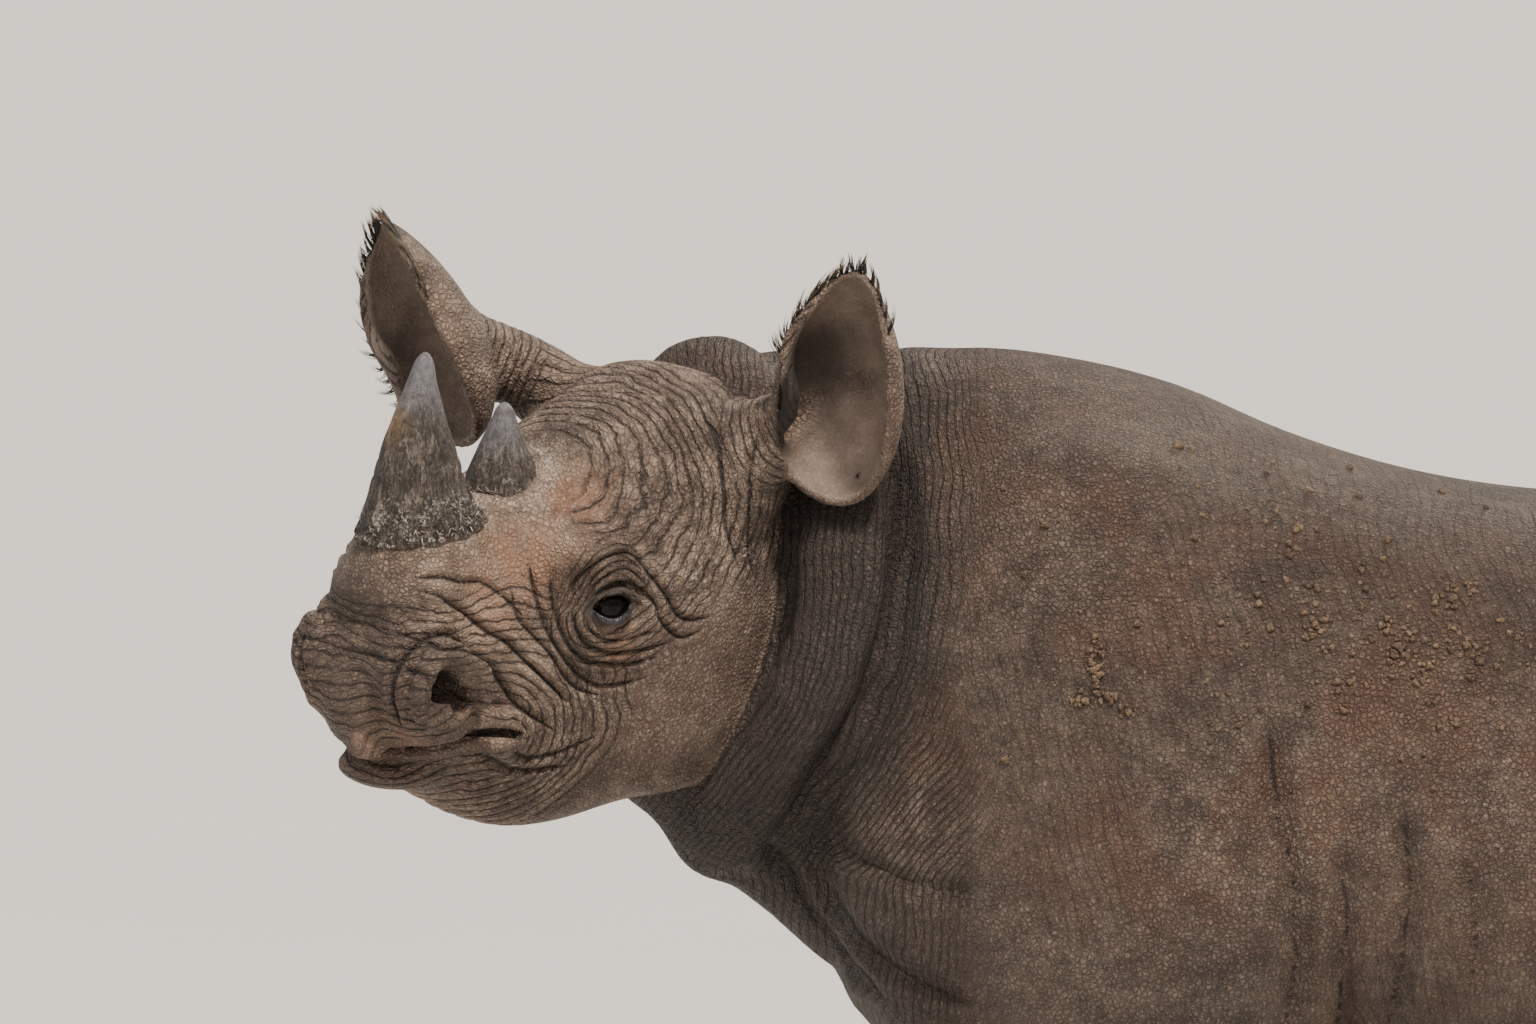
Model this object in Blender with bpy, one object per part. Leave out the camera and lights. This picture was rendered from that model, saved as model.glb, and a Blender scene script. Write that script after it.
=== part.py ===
"""Young black rhinoceros, a still life-size model that stands on its four feet.

Frame: metres, +Z up. The animal faces -X with its left flank towards -Y, and its
head is turned to its left. The origin lies on the floor under the middle of its box.

The flesh is modelled whole, as one smooth blend of lofts, ellipsoids and tubes, each
a signed distance in numpy. surface_net() turns the blend into a quad mesh, and the
mesh is parted into head, neck, trunk, tail, ears and legs by Boolean cutters that
leave thin cuts. Horns, eyes and toenails sit in pockets cut for them.
"""

import math
from dataclasses import dataclass

import bmesh
import bpy
import numpy as np
from mathutils import Matrix, Vector

# ---------------------------------------------------------------- driving dimensions
MID_PLANE_Y = 0.052         # the body's middle plane, so that the box is centred on the origin
CUT = 0.0003                # gap between neighbours

HEAD_PLACE = Vector((-0.775, -0.201, 0.985))   # point midway between the eyes
HEAD_TURN = math.radians(45)                   # yaw to the animal's left
HEAD_NOD = math.radians(4)                     # nose down
HEAD_TILT = math.radians(8)                    # left side down

EYE_SPREAD = 0.107          # eyeball centre from the head's middle plane
EYE_RADIUS = 0.0185
EYE_POCKET = 0.0004         # clearance round the eyeball
EYE_OPENING = (0.021, 0.022, 0.012)    # half sizes of the carved gap between the lids
LID_DEPTH = 0.018           # middle of that gap outward of the eyeball's centre

FOREFOOT_X = -0.225         # middle of a forefoot along the body, before its reach
FOREFOOT_RADII = (0.098, 0.089)        # at the nails, along and across
HINDFOOT_X = 0.655
HINDFOOT_RADII = (0.095, 0.086)
FORE_SPREAD = 0.172         # middle of a forefoot from the body's middle plane
HIND_SPREAD = 0.168
FORE_REACH = {-1: 0.0, 1: -0.075}      # how far each foot stands behind its plain place,
HIND_REACH = {-1: 0.035, 1: -0.040}    # by side: -1 is the animal's left
REACH_TOP = 0.60            # height at which the slope of a reaching leg has died out

EAR_HALF_LENGTH = 0.120
EAR_HALF_WIDTH = 0.064
EAR_DEPTH = 0.058
EAR_WALL = 0.008
EAR_AIR = 0.004             # between an ear's bowl and the neck beside it

NAIL_SIZE = (0.014, 0.029, 0.025)      # half thickness, width and height
NAIL_LIFT = 0.029           # floor to the middle of a nail
NAIL_SINK = 0.006           # how deep a nail's middle lies in the foot
NAIL_LEAN = math.radians(-8)
NAIL_FAN = math.radians(54) # turn from the middle nail to a side nail

# Cuts between the nodes.
HEAD_BACK = -0.236          # between head and neck, forward of the eyes
HEAD_BOX = (0.60, 0.37, 0.56)          # forward, across, up
NECK_BACK = -0.405          # between neck and trunk, at NECK_HEIGHT
NECK_HEIGHT = 0.9
NECK_BOX = (0.8, 1.2, 1.4)
NECK_SLOPE = 0.13           # how far that cut leans forward at its foot, per metre
TAIL_FRONT = 0.9375         # between rump and tail
TAIL_BOX = (0.2, 0.2, 0.7)
TRUNK_BOX = (1.6, 0.9, 1.0)
FORE_BOX = (-0.43, -0.03, 0.075, 0.40, 0.60)   # along, across, and top of a foreleg's box
HIND_BOX = (0.42, 0.90, 0.060, 0.40, 0.66)
EAR_CUT = 0.148             # point between the eyes to the plane of an ear's cut
EAR_BOX = (0.34, 0.36, 0.24)           # forward, up along the cut, outwards
FLESH_LOW = np.array([-1.10, -0.55, -0.03])    # the whole animal lies between these
FLESH_HIGH = np.array([1.05, 0.45, 1.42])

# Meshing of each node of flesh: grid cell, and triangles before the cuts.
DETAIL = {"head": (0.006, 1800), "ear": (0.004, 400), "neck": (0.010, 850),
          "tail": (0.006, 160), "leg": (0.010, 320), "trunk": (0.016, 1400)}
BLOCK = 4                   # grid cells along the edge of a block, in the first rough pass


@dataclass(frozen=True)
class Horn:
    """A horn's size and pose on the head's middle plane; angles in degrees."""

    name: str
    forward: float      # middle of the base
    up: float
    length: float
    radius: float
    lean: float         # axis at the base, behind the head's up
    bend: float         # further turn from base to tip


HORNS = (Horn("horn_front", 0.150, 0.086, 0.158, 0.047, -9, 16),
         Horn("horn_rear", 0.042, 0.090, 0.092, 0.043, -6, 8))
HORN_ROOT = 0.016           # how deep a horn goes into the head
HORN_FLARE = 0.14           # extra width at its foot
HORN_OVAL = (1.06, 0.94)    # section along and across the head


# ---------------------------------------------------------------- curves and distances
def curve(knots, values):
    """A smooth function through (knot, value) pairs: Hermite with finite slopes."""
    knots, values = np.asarray(knots, float), np.asarray(values, float)
    slopes = np.gradient(values, knots)

    def read(t):
        t = np.clip(t, knots[0], knots[-1])
        k = np.clip(np.searchsorted(knots, t) - 1, 0, len(knots) - 2)
        step = knots[k + 1] - knots[k]
        s = (t - knots[k]) / step
        a, b = values[k], values[k + 1]
        da, db = slopes[k] * step, slopes[k + 1] * step
        return a + s * (da + s * (3 * (b - a) - 2 * da - db + s * (2 * (a - b) + da + db)))

    return read


def smooth_min(a, b, width):
    """Union of two distances, rounded over a width."""
    h = np.maximum(width - np.abs(a - b), 0) / width
    return np.minimum(a, b) - h * h * width / 4


def loft(stations, power, front=0.0, back=0.0):
    """A loft along X.

    Each station is (x, middle across, half width, low, widest, high).
    Sections are superellipses whose upper and lower halves meet at the widest height;
    front and back are the lengths over which the ends round off.
    """
    table = np.asarray(stations, float)
    place = table[:, 0]
    middle, width, low, wide, high = (curve(place, column) for column in table.T[1:])
    first, last = place[0], place[-1]

    def distance(p):
        t = p[:, 0]
        cap = np.ones_like(t)
        if front:
            cap *= 1 - np.clip((first + front - t) / front, 0, 0.999) ** 2.2
        if back:
            cap *= 1 - np.clip((t - last + back) / back, 0, 0.999) ** 2.2
        cap = np.sqrt(cap)
        q = p[:, 1] - middle(t)
        h = p[:, 2] - wide(t)
        rise = np.where(h > 0, high(t) - wide(t), wide(t) - low(t)) * cap
        span = width(t) * cap
        a, b = np.abs(q) / span + 1e-9, np.abs(h) / rise + 1e-9
        rho = (a ** power + b ** power) ** (1 / power)
        slope = np.hypot((a / rho) ** (power - 1) / span, (b / rho) ** (power - 1) / rise)
        inside = (rho - 1) / slope
        outside = np.maximum(first - t, t - last)
        return np.where(outside > 0, np.hypot(np.maximum(inside, 0), outside), inside)

    half = table[:, 2].max() + np.abs(table[:, 1]).max()
    return (distance, np.array((first, -half, table[:, 3].min())),
            np.array((last, half, table[:, 5].max())))


def ellipsoid(centre, radii, turn=(0, 0, 0)):
    """An ellipsoid turned by Euler angles in degrees about its centre."""
    centre, radii = np.asarray(centre, float), np.asarray(radii, float)
    turned = np.array(Matrix.Identity(3))
    for angle, letter in zip(turn, "XYZ"):
        turned = np.array(Matrix.Rotation(math.radians(angle), 3, letter)) @ turned

    def distance(p):
        q = (p - centre) @ turned
        near = np.linalg.norm(q / radii, axis=1) + 1e-9
        return near * (near - 1) / (np.linalg.norm(q / radii ** 2, axis=1) + 1e-9)

    reach = np.sqrt((turned ** 2) @ radii ** 2)
    return distance, centre - reach, centre + reach


def tube(points, radii):
    """A chain of tapered rods through the points."""
    points, radii = np.asarray(points, float), np.asarray(radii, float)

    def distance(p):
        best = np.full(len(p), 9.0)
        for a, b, ra, rb in zip(points[:-1], points[1:], radii[:-1], radii[1:]):
            run = b - a
            t = np.clip((p - a) @ run / (run @ run), 0, 1)
            q = p - a - t[:, None] * run
            best = np.minimum(best, np.linalg.norm(q, axis=1) - ra - t * (rb - ra))
        return best

    pad = radii.max()
    return distance, points.min(axis=0) - pad, points.max(axis=0) + pad


def smooth_path(points, pieces=6):
    """Points along a smooth curve through the given ones."""
    points = np.asarray(points, float)
    knots = np.r_[0, np.cumsum(np.linalg.norm(np.diff(points, axis=0), axis=1))]
    t = np.linspace(0, knots[-1], pieces * (len(points) - 1) + 1)
    return np.stack([curve(knots, column)(t) for column in points.T], axis=1)


class Clay:
    """A blend of shapes: each is added or carved with its own rounding width."""

    def __init__(self):
        self.shapes = []

    def add(self, shape, width=0.03):
        self.shapes.append((shape, width, 1))

    def carve(self, shape, width=0.01):
        self.shapes.append((shape, width, -1))

    def as_shape(self):
        """The whole blend as one shape, to add to another."""
        added = [shape for shape, _, sign in self.shapes if sign > 0]
        low = np.min([shape[1] for shape in added], axis=0)
        high = np.max([shape[2] for shape in added], axis=0)
        return self.distance, low, high

    def distance(self, p):
        """Signed distance of points to the blend; far shapes are skipped."""
        result = np.full(len(p), 0.5)
        for (measure, low, high), width, sign in self.shapes:
            margin = width + 0.03
            near = np.all((p > low - margin) & (p < high + margin), axis=1)
            if near.any():
                value = measure(p[near])
                if sign > 0:
                    result[near] = smooth_min(result[near], value, width)
                else:
                    result[near] = -smooth_min(-result[near], value, width)
        return result


def padded(shape, depth):
    """The same shape, its surface moved outwards."""
    measure, low, high = shape
    return (lambda p: measure(p) - depth), low - depth, high + depth


# ---------------------------------------------------------------- head's own frame
def head_axes():
    """Rows: forward, left and up of the head in the animal's frame."""
    turn = Matrix.Rotation(HEAD_TURN, 3, "Z")
    forward, left, up = (turn @ Vector(v) for v in ((-1, 0, 0), (0, -1, 0), (0, 0, 1)))
    nod = math.cos(HEAD_NOD), math.sin(HEAD_NOD)
    forward, up = nod[0] * forward - nod[1] * up, nod[0] * up + nod[1] * forward
    tilt = math.cos(HEAD_TILT), math.sin(HEAD_TILT)
    left, up = tilt[0] * left - tilt[1] * up, tilt[0] * up + tilt[1] * left
    return np.array([forward, left, up])


HEAD_AXES = head_axes()


def in_head(shape):
    """A shape given in (forward, left, up) of the head, set into the animal's frame."""
    measure, low, high = shape
    corners = np.array([[x, y, z] for x in (low[0], high[0]) for y in (low[1], high[1])
                        for z in (low[2], high[2])]) @ HEAD_AXES + np.array(HEAD_PLACE)

    def distance(p):
        return measure((p - np.array(HEAD_PLACE)) @ HEAD_AXES.T)

    return distance, corners.min(axis=0), corners.max(axis=0)


def head_point(forward, left, up):
    """A point of the head in the animal's frame."""
    return Vector(np.array((forward, left, up)) @ HEAD_AXES) + HEAD_PLACE


# ---------------------------------------------------------------- body
def add_trunk(clay):
    """Chest, barrel and rump as one loft, with the muscles of shoulder and thigh."""
    clay.add(loft([
        (-0.51, 0, 0.12, 0.610, 0.82, 1.05),
        (-0.44, 0, 0.18, 0.530, 0.80, 1.170),
        (-0.36, 0, 0.215, 0.480, 0.80, 1.193),
        (-0.25, 0, 0.250, 0.455, 0.79, 1.184),
        (-0.15, 0, 0.268, 0.445, 0.78, 1.158),
        (-0.05, 0, 0.285, 0.432, 0.765, 1.115),
        (0.06, 0, 0.303, 0.420, 0.745, 1.080),
        (0.19, 0, 0.318, 0.412, 0.725, 1.058),
        (0.33, 0, 0.322, 0.415, 0.720, 1.056),
        (0.46, 0, 0.308, 0.435, 0.735, 1.082),
        (0.58, 0, 0.278, 0.475, 0.765, 1.120),
        (0.69, 0, 0.242, 0.535, 0.790, 1.137),
        (0.80, 0, 0.203, 0.600, 0.800, 1.108),
        (0.88, 0, 0.165, 0.650, 0.800, 1.040),
        (0.93, 0, 0.125, 0.690, 0.800, 0.960),
    ], power=2.25, front=0.05, back=0.07), 0.03)
    for side in (-1, 1):
        clay.add(ellipsoid((-0.21, side * 0.185, 0.86), (0.15, 0.085, 0.25), (0, -14, 0)), 0.09)
        clay.add(ellipsoid((-0.145, side * 0.205, 0.655), (0.115, 0.085, 0.150), (0, 20, 0)), 0.07)
        clay.add(ellipsoid((-0.33, side * 0.130, 0.640), (0.115, 0.085, 0.155), (0, -28, 0)), 0.08)
        clay.add(ellipsoid((0.68, side * 0.175, 0.79), (0.195, 0.105, 0.255), (0, 12, 0)), 0.08)
        clay.add(ellipsoid((0.56, side * 0.190, 0.60), (0.115, 0.080, 0.165), (0, -30, 0)), 0.08)
        clay.add(ellipsoid((0.80, side * 0.105, 0.78), (0.125, 0.095, 0.185)), 0.06)
        clay.add(ellipsoid((0.60, side * 0.200, 0.985), (0.110, 0.060, 0.070), (0, 18, 0)), 0.10)
        clay.add(ellipsoid((0.475, side * 0.195, 0.520), (0.105, 0.055, 0.100), (0, -35, 0)), 0.07)


def add_legs(clay):
    """Four columns: forearm, wrist and foot in front; shank, hock and foot behind."""
    for side, reach in FORE_REACH.items():
        mid = side * FORE_SPREAD
        clay.add(column([
            (0.000, -0.225, mid, 0.096, 0.087),
            (0.040, -0.222, mid, 0.099, 0.090),
            (0.085, -0.214, mid, 0.087, 0.080),
            (0.140, -0.206, mid, 0.077, 0.071),
            (0.200, -0.202, mid, 0.075, 0.070),
            (0.265, -0.203, mid, 0.082, 0.077),
            (0.320, -0.200, mid, 0.085, 0.079),
            (0.400, -0.194, mid, 0.100, 0.084),
            (0.480, -0.192, mid, 0.125, 0.090),
            (0.560, -0.195, mid, 0.148, 0.092),
            (0.640, -0.205, mid, 0.155, 0.082),
        ], reach), 0.05)
    for side, reach in HIND_REACH.items():
        mid = side * HIND_SPREAD
        clay.add(column([
            (0.000, 0.655, mid, 0.093, 0.084),
            (0.040, 0.658, mid, 0.096, 0.087),
            (0.085, 0.667, mid, 0.084, 0.076),
            (0.140, 0.682, mid, 0.072, 0.066),
            (0.200, 0.698, mid, 0.072, 0.065),
            (0.265, 0.716, mid, 0.080, 0.069),
            (0.330, 0.720, mid, 0.086, 0.072),
            (0.400, 0.702, mid, 0.098, 0.078),
            (0.480, 0.672, mid, 0.130, 0.088),
            (0.560, 0.650, mid, 0.160, 0.095),
            (0.660, 0.650, mid, 0.170, 0.092),
        ], reach), 0.05)


def column(stations, reach):
    """A leg: stations (height, x, y, half depth, half width), sloped to reach its foot."""
    height, x, y, depth, width = (np.array(c, float) for c in zip(*stations))
    x = x + reach * np.clip(1 - height / REACH_TOP, 0, 1)
    read_x, read_y, read_depth, read_width = (curve(height, c) for c in (x, y, depth, width))

    def distance(p):
        t = p[:, 2]
        a = (p[:, 0] - read_x(t)) / read_depth(t)
        b = (p[:, 1] - read_y(t)) / read_width(t)
        rho = np.hypot(a, b) + 1e-9
        slope = np.hypot(a / read_depth(t), b / read_width(t)) / rho
        inside = (rho - 1) / slope
        over = np.maximum(t - height[-1], -0.02 - t)
        return np.where(over > 0, np.hypot(np.maximum(inside, 0), over), inside)

    pad = max(depth.max(), width.max())
    low = np.array([x.min() - pad, y.min() - pad, -0.02])
    high = np.array([x.max() + pad, y.max() + pad, height[-1]])
    return distance, low, high


def add_tail(clay):
    """A thin hanging tail, flattened at its end, close behind the rump."""
    path = smooth_path([(0.86, 0, 1.030), (0.925, 0, 0.990), (0.962, -0.004, 0.91),
                        (0.972, -0.010, 0.80), (0.966, -0.016, 0.68), (0.962, -0.018, 0.56)], 4)
    radii = np.interp(np.linspace(0, 1, len(path)), [0, 0.2, 0.5, 0.85, 1],
                      [0.042, 0.032, 0.021, 0.015, 0.014])
    clay.add(tube(path, radii), 0.03)


def model_neck():
    """A short deep neck that bends to the animal's left, with its rolls of skin."""
    clay = Clay()
    clay.add(loft([
        (-0.74, -0.035, 0.065, 0.80, 0.95, 1.08),
        (-0.67, -0.045, 0.095, 0.752, 0.95, 1.140),
        (-0.61, -0.030, 0.115, 0.702, 0.94, 1.165),
        (-0.55, -0.008, 0.125, 0.650, 0.92, 1.180),
        (-0.49, 0.0, 0.150, 0.598, 0.89, 1.190),
        (-0.43, 0.0, 0.175, 0.565, 0.86, 1.194),
        (-0.34, 0.0, 0.18, 0.55, 0.84, 1.184),
    ], power=2.1, front=0.04), 0.05)
    roll = smooth_path([(-0.472, -0.010, 1.125), (-0.470, -0.080, 1.090), (-0.466, -0.148, 1.01),
                        (-0.472, -0.176, 0.93), (-0.500, -0.168, 0.86), (-0.538, -0.140, 0.795),
                        (-0.575, -0.095, 0.745), (-0.600, -0.055, 0.725)])
    along = np.linspace(0, 1, len(roll))
    clay.add(tube(roll, np.interp(along, [0, 0.3, 0.6, 0.85, 1],
                                  [0.034, 0.052, 0.056, 0.044, 0.034])), 0.040)
    far = roll * (1, -0.86, 1) + (0.02, -0.02, 0)
    clay.add(tube(far, np.interp(along, [0, 0.3, 0.6, 0.85, 1],
                                 [0.030, 0.040, 0.042, 0.036, 0.028])), 0.060)
    nape = smooth_path([(-0.545, -0.150, 1.080), (-0.572, -0.095, 1.148), (-0.600, -0.030, 1.163),
                        (-0.640, 0.025, 1.140), (-0.672, 0.050, 1.070), (-0.690, 0.050, 0.99)])
    across = np.linspace(0, 1, len(nape))
    clay.add(tube(nape, np.interp(across, [0, 0.2, 0.5, 0.8, 1],
                                  [0.020, 0.044, 0.047, 0.030, 0.014])), 0.016)
    second = nape + (0.064, 0.014, -0.004)
    clay.add(tube(second, np.interp(across, [0, 0.2, 0.5, 0.8, 1],
                                    [0.016, 0.032, 0.034, 0.024, 0.012])), 0.020)
    return clay


# ---------------------------------------------------------------- head
def model_head():
    """Skull and muzzle as a loft from the nape to the nose, with its soft parts."""
    clay = Clay()
    clay.add(loft([
        (-0.285, 0, 0.085, -0.06, 0.03, 0.090),
        (-0.235, 0, 0.108, -0.135, 0.02, 0.150),
        (-0.185, 0, 0.118, -0.187, 0.02, 0.176),
        (-0.130, 0, 0.120, -0.214, 0.02, 0.181),
        (-0.070, 0, 0.115, -0.230, 0.03, 0.168),
        (-0.015, 0, 0.106, -0.236, 0.03, 0.140),
        (0.040, 0, 0.092, -0.232, 0.00, 0.106),
        (0.090, 0, 0.080, -0.216, -0.03, 0.088),
        (0.140, 0, 0.074, -0.190, -0.05, 0.086),
        (0.185, 0, 0.073, -0.166, -0.06, 0.068),
        (0.236, 0, 0.068, -0.140, -0.07, 0.016),
    ], power=2.45, front=0.05, back=0.045), 0.03)
    clay.add(ellipsoid((0.150, 0, 0.056), (0.060, 0.056, 0.045)), 0.03)
    clay.add(ellipsoid((0.047, 0, 0.076), (0.046, 0.048, 0.036)), 0.03)
    clay.add(ellipsoid((-0.165, 0, 0.142), (0.060, 0.105, 0.044)), 0.04)
    clay.add(ellipsoid((0.198, 0, -0.045), (0.052, 0.066, 0.056)), 0.03)
    for side in (-1, 1):
        clay.add(ellipsoid((0.005, side * 0.086, 0.052), (0.050, 0.032, 0.030)), 0.03)
        clay.add(ellipsoid((-0.085, side * 0.088, 0.000), (0.110, 0.042, 0.062)), 0.05)
        clay.add(ellipsoid((-0.125, side * 0.078, -0.095), (0.100, 0.046, 0.105)), 0.05)
        clay.add(ellipsoid((-0.168, side * 0.102, 0.100), (0.052, 0.040, 0.055)), 0.03)
        clay.add(ellipsoid((0.178, side * 0.058, -0.062), (0.054, 0.034, 0.046)), 0.02)
        clay.add(ellipsoid((0.206, side * 0.056, -0.045), (0.038, 0.030, 0.038)), 0.03)
        clay.add(ellipsoid((0.092, side * 0.066, -0.122), (0.028, 0.020, 0.022)), 0.02)
    clay.add(ellipsoid((0.205, 0, -0.098), (0.036, 0.056, 0.040)), 0.02)
    clay.add(ellipsoid((0.214, 0, -0.122), (0.020, 0.022, 0.018)), 0.012)
    clay.add(ellipsoid((0.172, 0, -0.153), (0.050, 0.050, 0.022)), 0.015)
    for side in (-1, 1):
        nostril = smooth_path([(0.186, side * 0.098, -0.058), (0.164, side * 0.086, -0.070),
                               (0.146, side * 0.076, -0.074)], 3)
        clay.carve(tube(nostril, np.linspace(0.017, 0.008, len(nostril))), 0.008)
        clay.carve(ellipsoid((0.0, side * 0.128, 0.0), (0.026, 0.026, 0.018)), 0.02)
    mouth = [(0.098, 0.087, -0.118), (0.135, 0.080, -0.128), (0.175, 0.066, -0.134),
             (0.205, 0.042, -0.138), (0.226, 0.0, -0.140)]
    mouth += [(f, -l, u) for f, l, u in mouth[-2::-1]]
    clay.carve(tube(smooth_path(mouth, 4), np.full(33, 0.0045)), 0.006)
    return clay


# ---------------------------------------------------------------- ears
def ear_frame(side):
    """Stalk's foot, middle of the rim, and rows (sideways, opening, length) of an ear."""
    if side > 0:
        foot, middle = np.array((-0.170, 0.098, 0.125)), np.array((-0.200, 0.202, 0.203))
        length, opening = np.array((0.00, 0.02, 0.19)), np.array((0.92, 0.34, -0.05))
    else:
        foot, middle = np.array((-0.150, -0.098, 0.130)), np.array((-0.018, -0.189, 0.204))
        length, opening = np.array((0.12, -0.45, 0.86)), np.array((0.98, -0.185, -0.10))
    length = length / np.linalg.norm(length)
    opening = opening - (opening @ length) * length
    opening /= np.linalg.norm(opening)
    return foot, middle, np.array([np.cross(opening, length), opening, length])


def egg(side, shrink, reach):
    """Half an egg, narrow at the ear's tip, that ends reach beyond the curved rim."""
    _, middle, rows = ear_frame(side)

    def distance(p):
        q = (p - middle) @ rows.T
        rise = q[:, 2] / EAR_HALF_LENGTH
        narrow = 1 - 0.20 * np.clip(rise, -1, 1) - 0.12 * np.clip(rise, 0, 1) ** 2
        radii = np.stack([EAR_HALF_WIDTH * narrow, EAR_DEPTH * narrow,
                          np.full(len(q), EAR_HALF_LENGTH)], axis=1) - shrink
        near = np.linalg.norm(q / radii, axis=1) + 1e-9
        solid = near * (near - 1) / (np.linalg.norm(q / radii ** 2, axis=1) + 1e-9)
        rim = q[:, 1] - 0.012 + 0.020 * rise ** 2 - reach
        return -smooth_min(-solid, -rim, 0.005)

    half = 1.2 * np.array([EAR_HALF_WIDTH, EAR_DEPTH, EAR_HALF_LENGTH])
    extent = np.abs(rows.T) @ half
    return distance, middle - extent, middle + extent


def ear_stalk(side):
    """Points and radii along the stalk, from inside the head to the back of the bowl."""
    foot, middle, rows = ear_frame(side)
    back = middle - 0.042 * rows[1] - 0.020 * rows[2]
    points = smooth_path([foot, 0.5 * foot + 0.5 * back - 0.008 * rows[1], back], 4)
    return points, np.linspace(0.042, 0.032, len(points))


def model_ear(side):
    """A hollow bowl on a stalk that rises from behind the cheek."""
    clay = Clay()
    clay.add(tube(*ear_stalk(side)), 0.025)
    clay.add(egg(side, 0.0, 0.0), 0.020)
    clay.carve(egg(side, EAR_WALL, 0.02), 0.003)
    return clay


def ear_cut_rows(side):
    """Directions at the plane across an ear's stalk: forward, along the plane, outward."""
    outward = np.array((0.10, 0.80 * side, 0.60))
    outward /= np.linalg.norm(outward)
    forward = np.array((1.0, 0, 0)) - outward[0] * outward
    forward /= np.linalg.norm(forward)
    return np.array([forward, np.cross(outward, forward), outward])


def model_ear_root(side):
    """The foot of the stalk up to its cut, for the nodes beside the ear."""
    points, radii = ear_stalk(side)
    outward = ear_cut_rows(side)[2]
    clay = Clay()
    stalk = tube(points, radii)
    clay.add(stalk, 0.025)
    clay.carve((lambda p: EAR_CUT - EAR_AIR / 2 - p @ outward,) + stalk[1:], 0.002)
    return clay


def model_flesh():
    """The animal without horns, eyes and nails, its ears cut off above their roots."""
    clay = Clay()
    add_trunk(clay)
    add_legs(clay)
    add_tail(clay)
    clay.add(model_neck().as_shape(), 0.018)
    head = model_head()
    for side in (-1, 1):
        head.add(model_ear_root(side).as_shape(), 0.015)
    clay.add(in_head(head.as_shape()), 0.012)
    for side in (-1, 1):
        clay.carve(in_head(egg(side, -EAR_AIR, 0.0)), 0.004)
    return clay


# ---------------------------------------------------------------- surface from distance
def surface_net(distance, low, high, cell):
    """Quads on the zero surface: one point in each grid cell that the surface crosses.

    The point is the mean of the places where the cell's edges change sign, and each
    grid edge that changes sign gives one quad through the four cells around it.
    """
    low = np.asarray(low, float)
    count = np.ceil((np.asarray(high) - low) / cell).astype(int) + 1
    blocks = -(-count // BLOCK) + 1
    grid = np.stack(np.meshgrid(*(np.arange(n) for n in blocks), indexing="ij"), axis=-1)
    rough = distance((low + grid.reshape(-1, 3) * cell * BLOCK)).reshape(blocks)

    def spread(values):
        fine = np.repeat(np.repeat(np.repeat(values, BLOCK, 0), BLOCK, 1), BLOCK, 2)
        return fine[tuple(slice(BLOCK // 2, BLOCK // 2 + n) for n in count)].copy()

    live = spread(np.abs(rough) < 1.6 * cell * BLOCK)
    field = spread(rough)
    place = np.argwhere(live)
    field[live] = distance(low + place * cell)
    edge = [slice(None)] * 3
    for axis in range(3):
        for end in (0, -1):
            edge[axis] = end
            field[tuple(edge)] = np.maximum(field[tuple(edge)], cell)
            edge[axis] = slice(None)
    solid = field < 0

    corners = np.array([[i, j, k] for i in (0, 1) for j in (0, 1) for k in (0, 1)])
    window = [solid[tuple(slice(c, n - 1 + c) for c, n in zip(corner, count))]
              for corner in corners]
    crossed = np.any(window, axis=0) & ~np.all(window, axis=0)
    cells = np.argwhere(crossed)
    number = np.full(crossed.shape, -1)
    number[crossed] = np.arange(len(cells))
    total, hits = np.zeros((len(cells), 3)), np.zeros(len(cells))
    for axis in range(3):
        for corner in corners[corners[:, axis] == 0]:
            start = cells + corner
            end = start + np.eye(3, dtype=int)[axis]
            a, b = field[tuple(start.T)], field[tuple(end.T)]
            change = (a < 0) != (b < 0)
            t = np.where(change, a / np.where(change, a - b, 1), 0)
            point = corner + t[:, None] * np.eye(3)[axis]
            total += np.where(change[:, None], point, 0)
            hits += change
    points = low + (cells + total / hits[:, None]) * cell

    quads = []
    for axis in range(3):
        u, v = (axis + 1) % 3, (axis + 2) % 3
        here = [slice(1, n - 1) for n in count]
        here[axis] = slice(0, count[axis] - 1)
        there = list(here)
        there[axis] = slice(1, count[axis])
        a, b = solid[tuple(here)], solid[tuple(there)]
        offset = np.array([s.start for s in here])
        for mask, order in ((a & ~b, (0, 1, 2, 3)), (~a & b, (3, 2, 1, 0))):
            at = np.argwhere(mask) + offset
            ring = []
            for du, dv in ((1, 1), (0, 1), (0, 0), (1, 0)):
                step = at.copy()
                step[:, u] -= du
                step[:, v] -= dv
                ring.append(number[tuple(step.T)])
            quads.append(np.stack([ring[k] for k in order], axis=1))
    return points, np.concatenate(quads)


# ---------------------------------------------------------------- objects
def clear_scene():
    """Remove every object that a new file brings."""
    for thing in list(bpy.data.objects):
        bpy.data.objects.remove(thing, do_unlink=True)


def material(name, colour, roughness):
    """A Principled surface of one colour."""
    made = bpy.data.materials.new(name)
    made.use_nodes = True
    shader = made.node_tree.nodes["Principled BSDF"]
    shader.inputs["Base Color"].default_value = (*colour, 1)
    shader.inputs["Roughness"].default_value = roughness
    shader.inputs["Metallic"].default_value = 0
    return made


def place_mesh(name, mesh, dress=None):
    """Put a mesh into the scene as an object, with its material."""
    thing = bpy.data.objects.new(name, mesh)
    bpy.context.collection.objects.link(thing)
    if dress:
        mesh.materials.append(dress)
    return thing


def make_guide(thing):
    """Mark an object as a cutter, which isn't part of the model."""
    thing.hide_render = True
    thing.display_type = "WIRE"
    return thing


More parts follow.
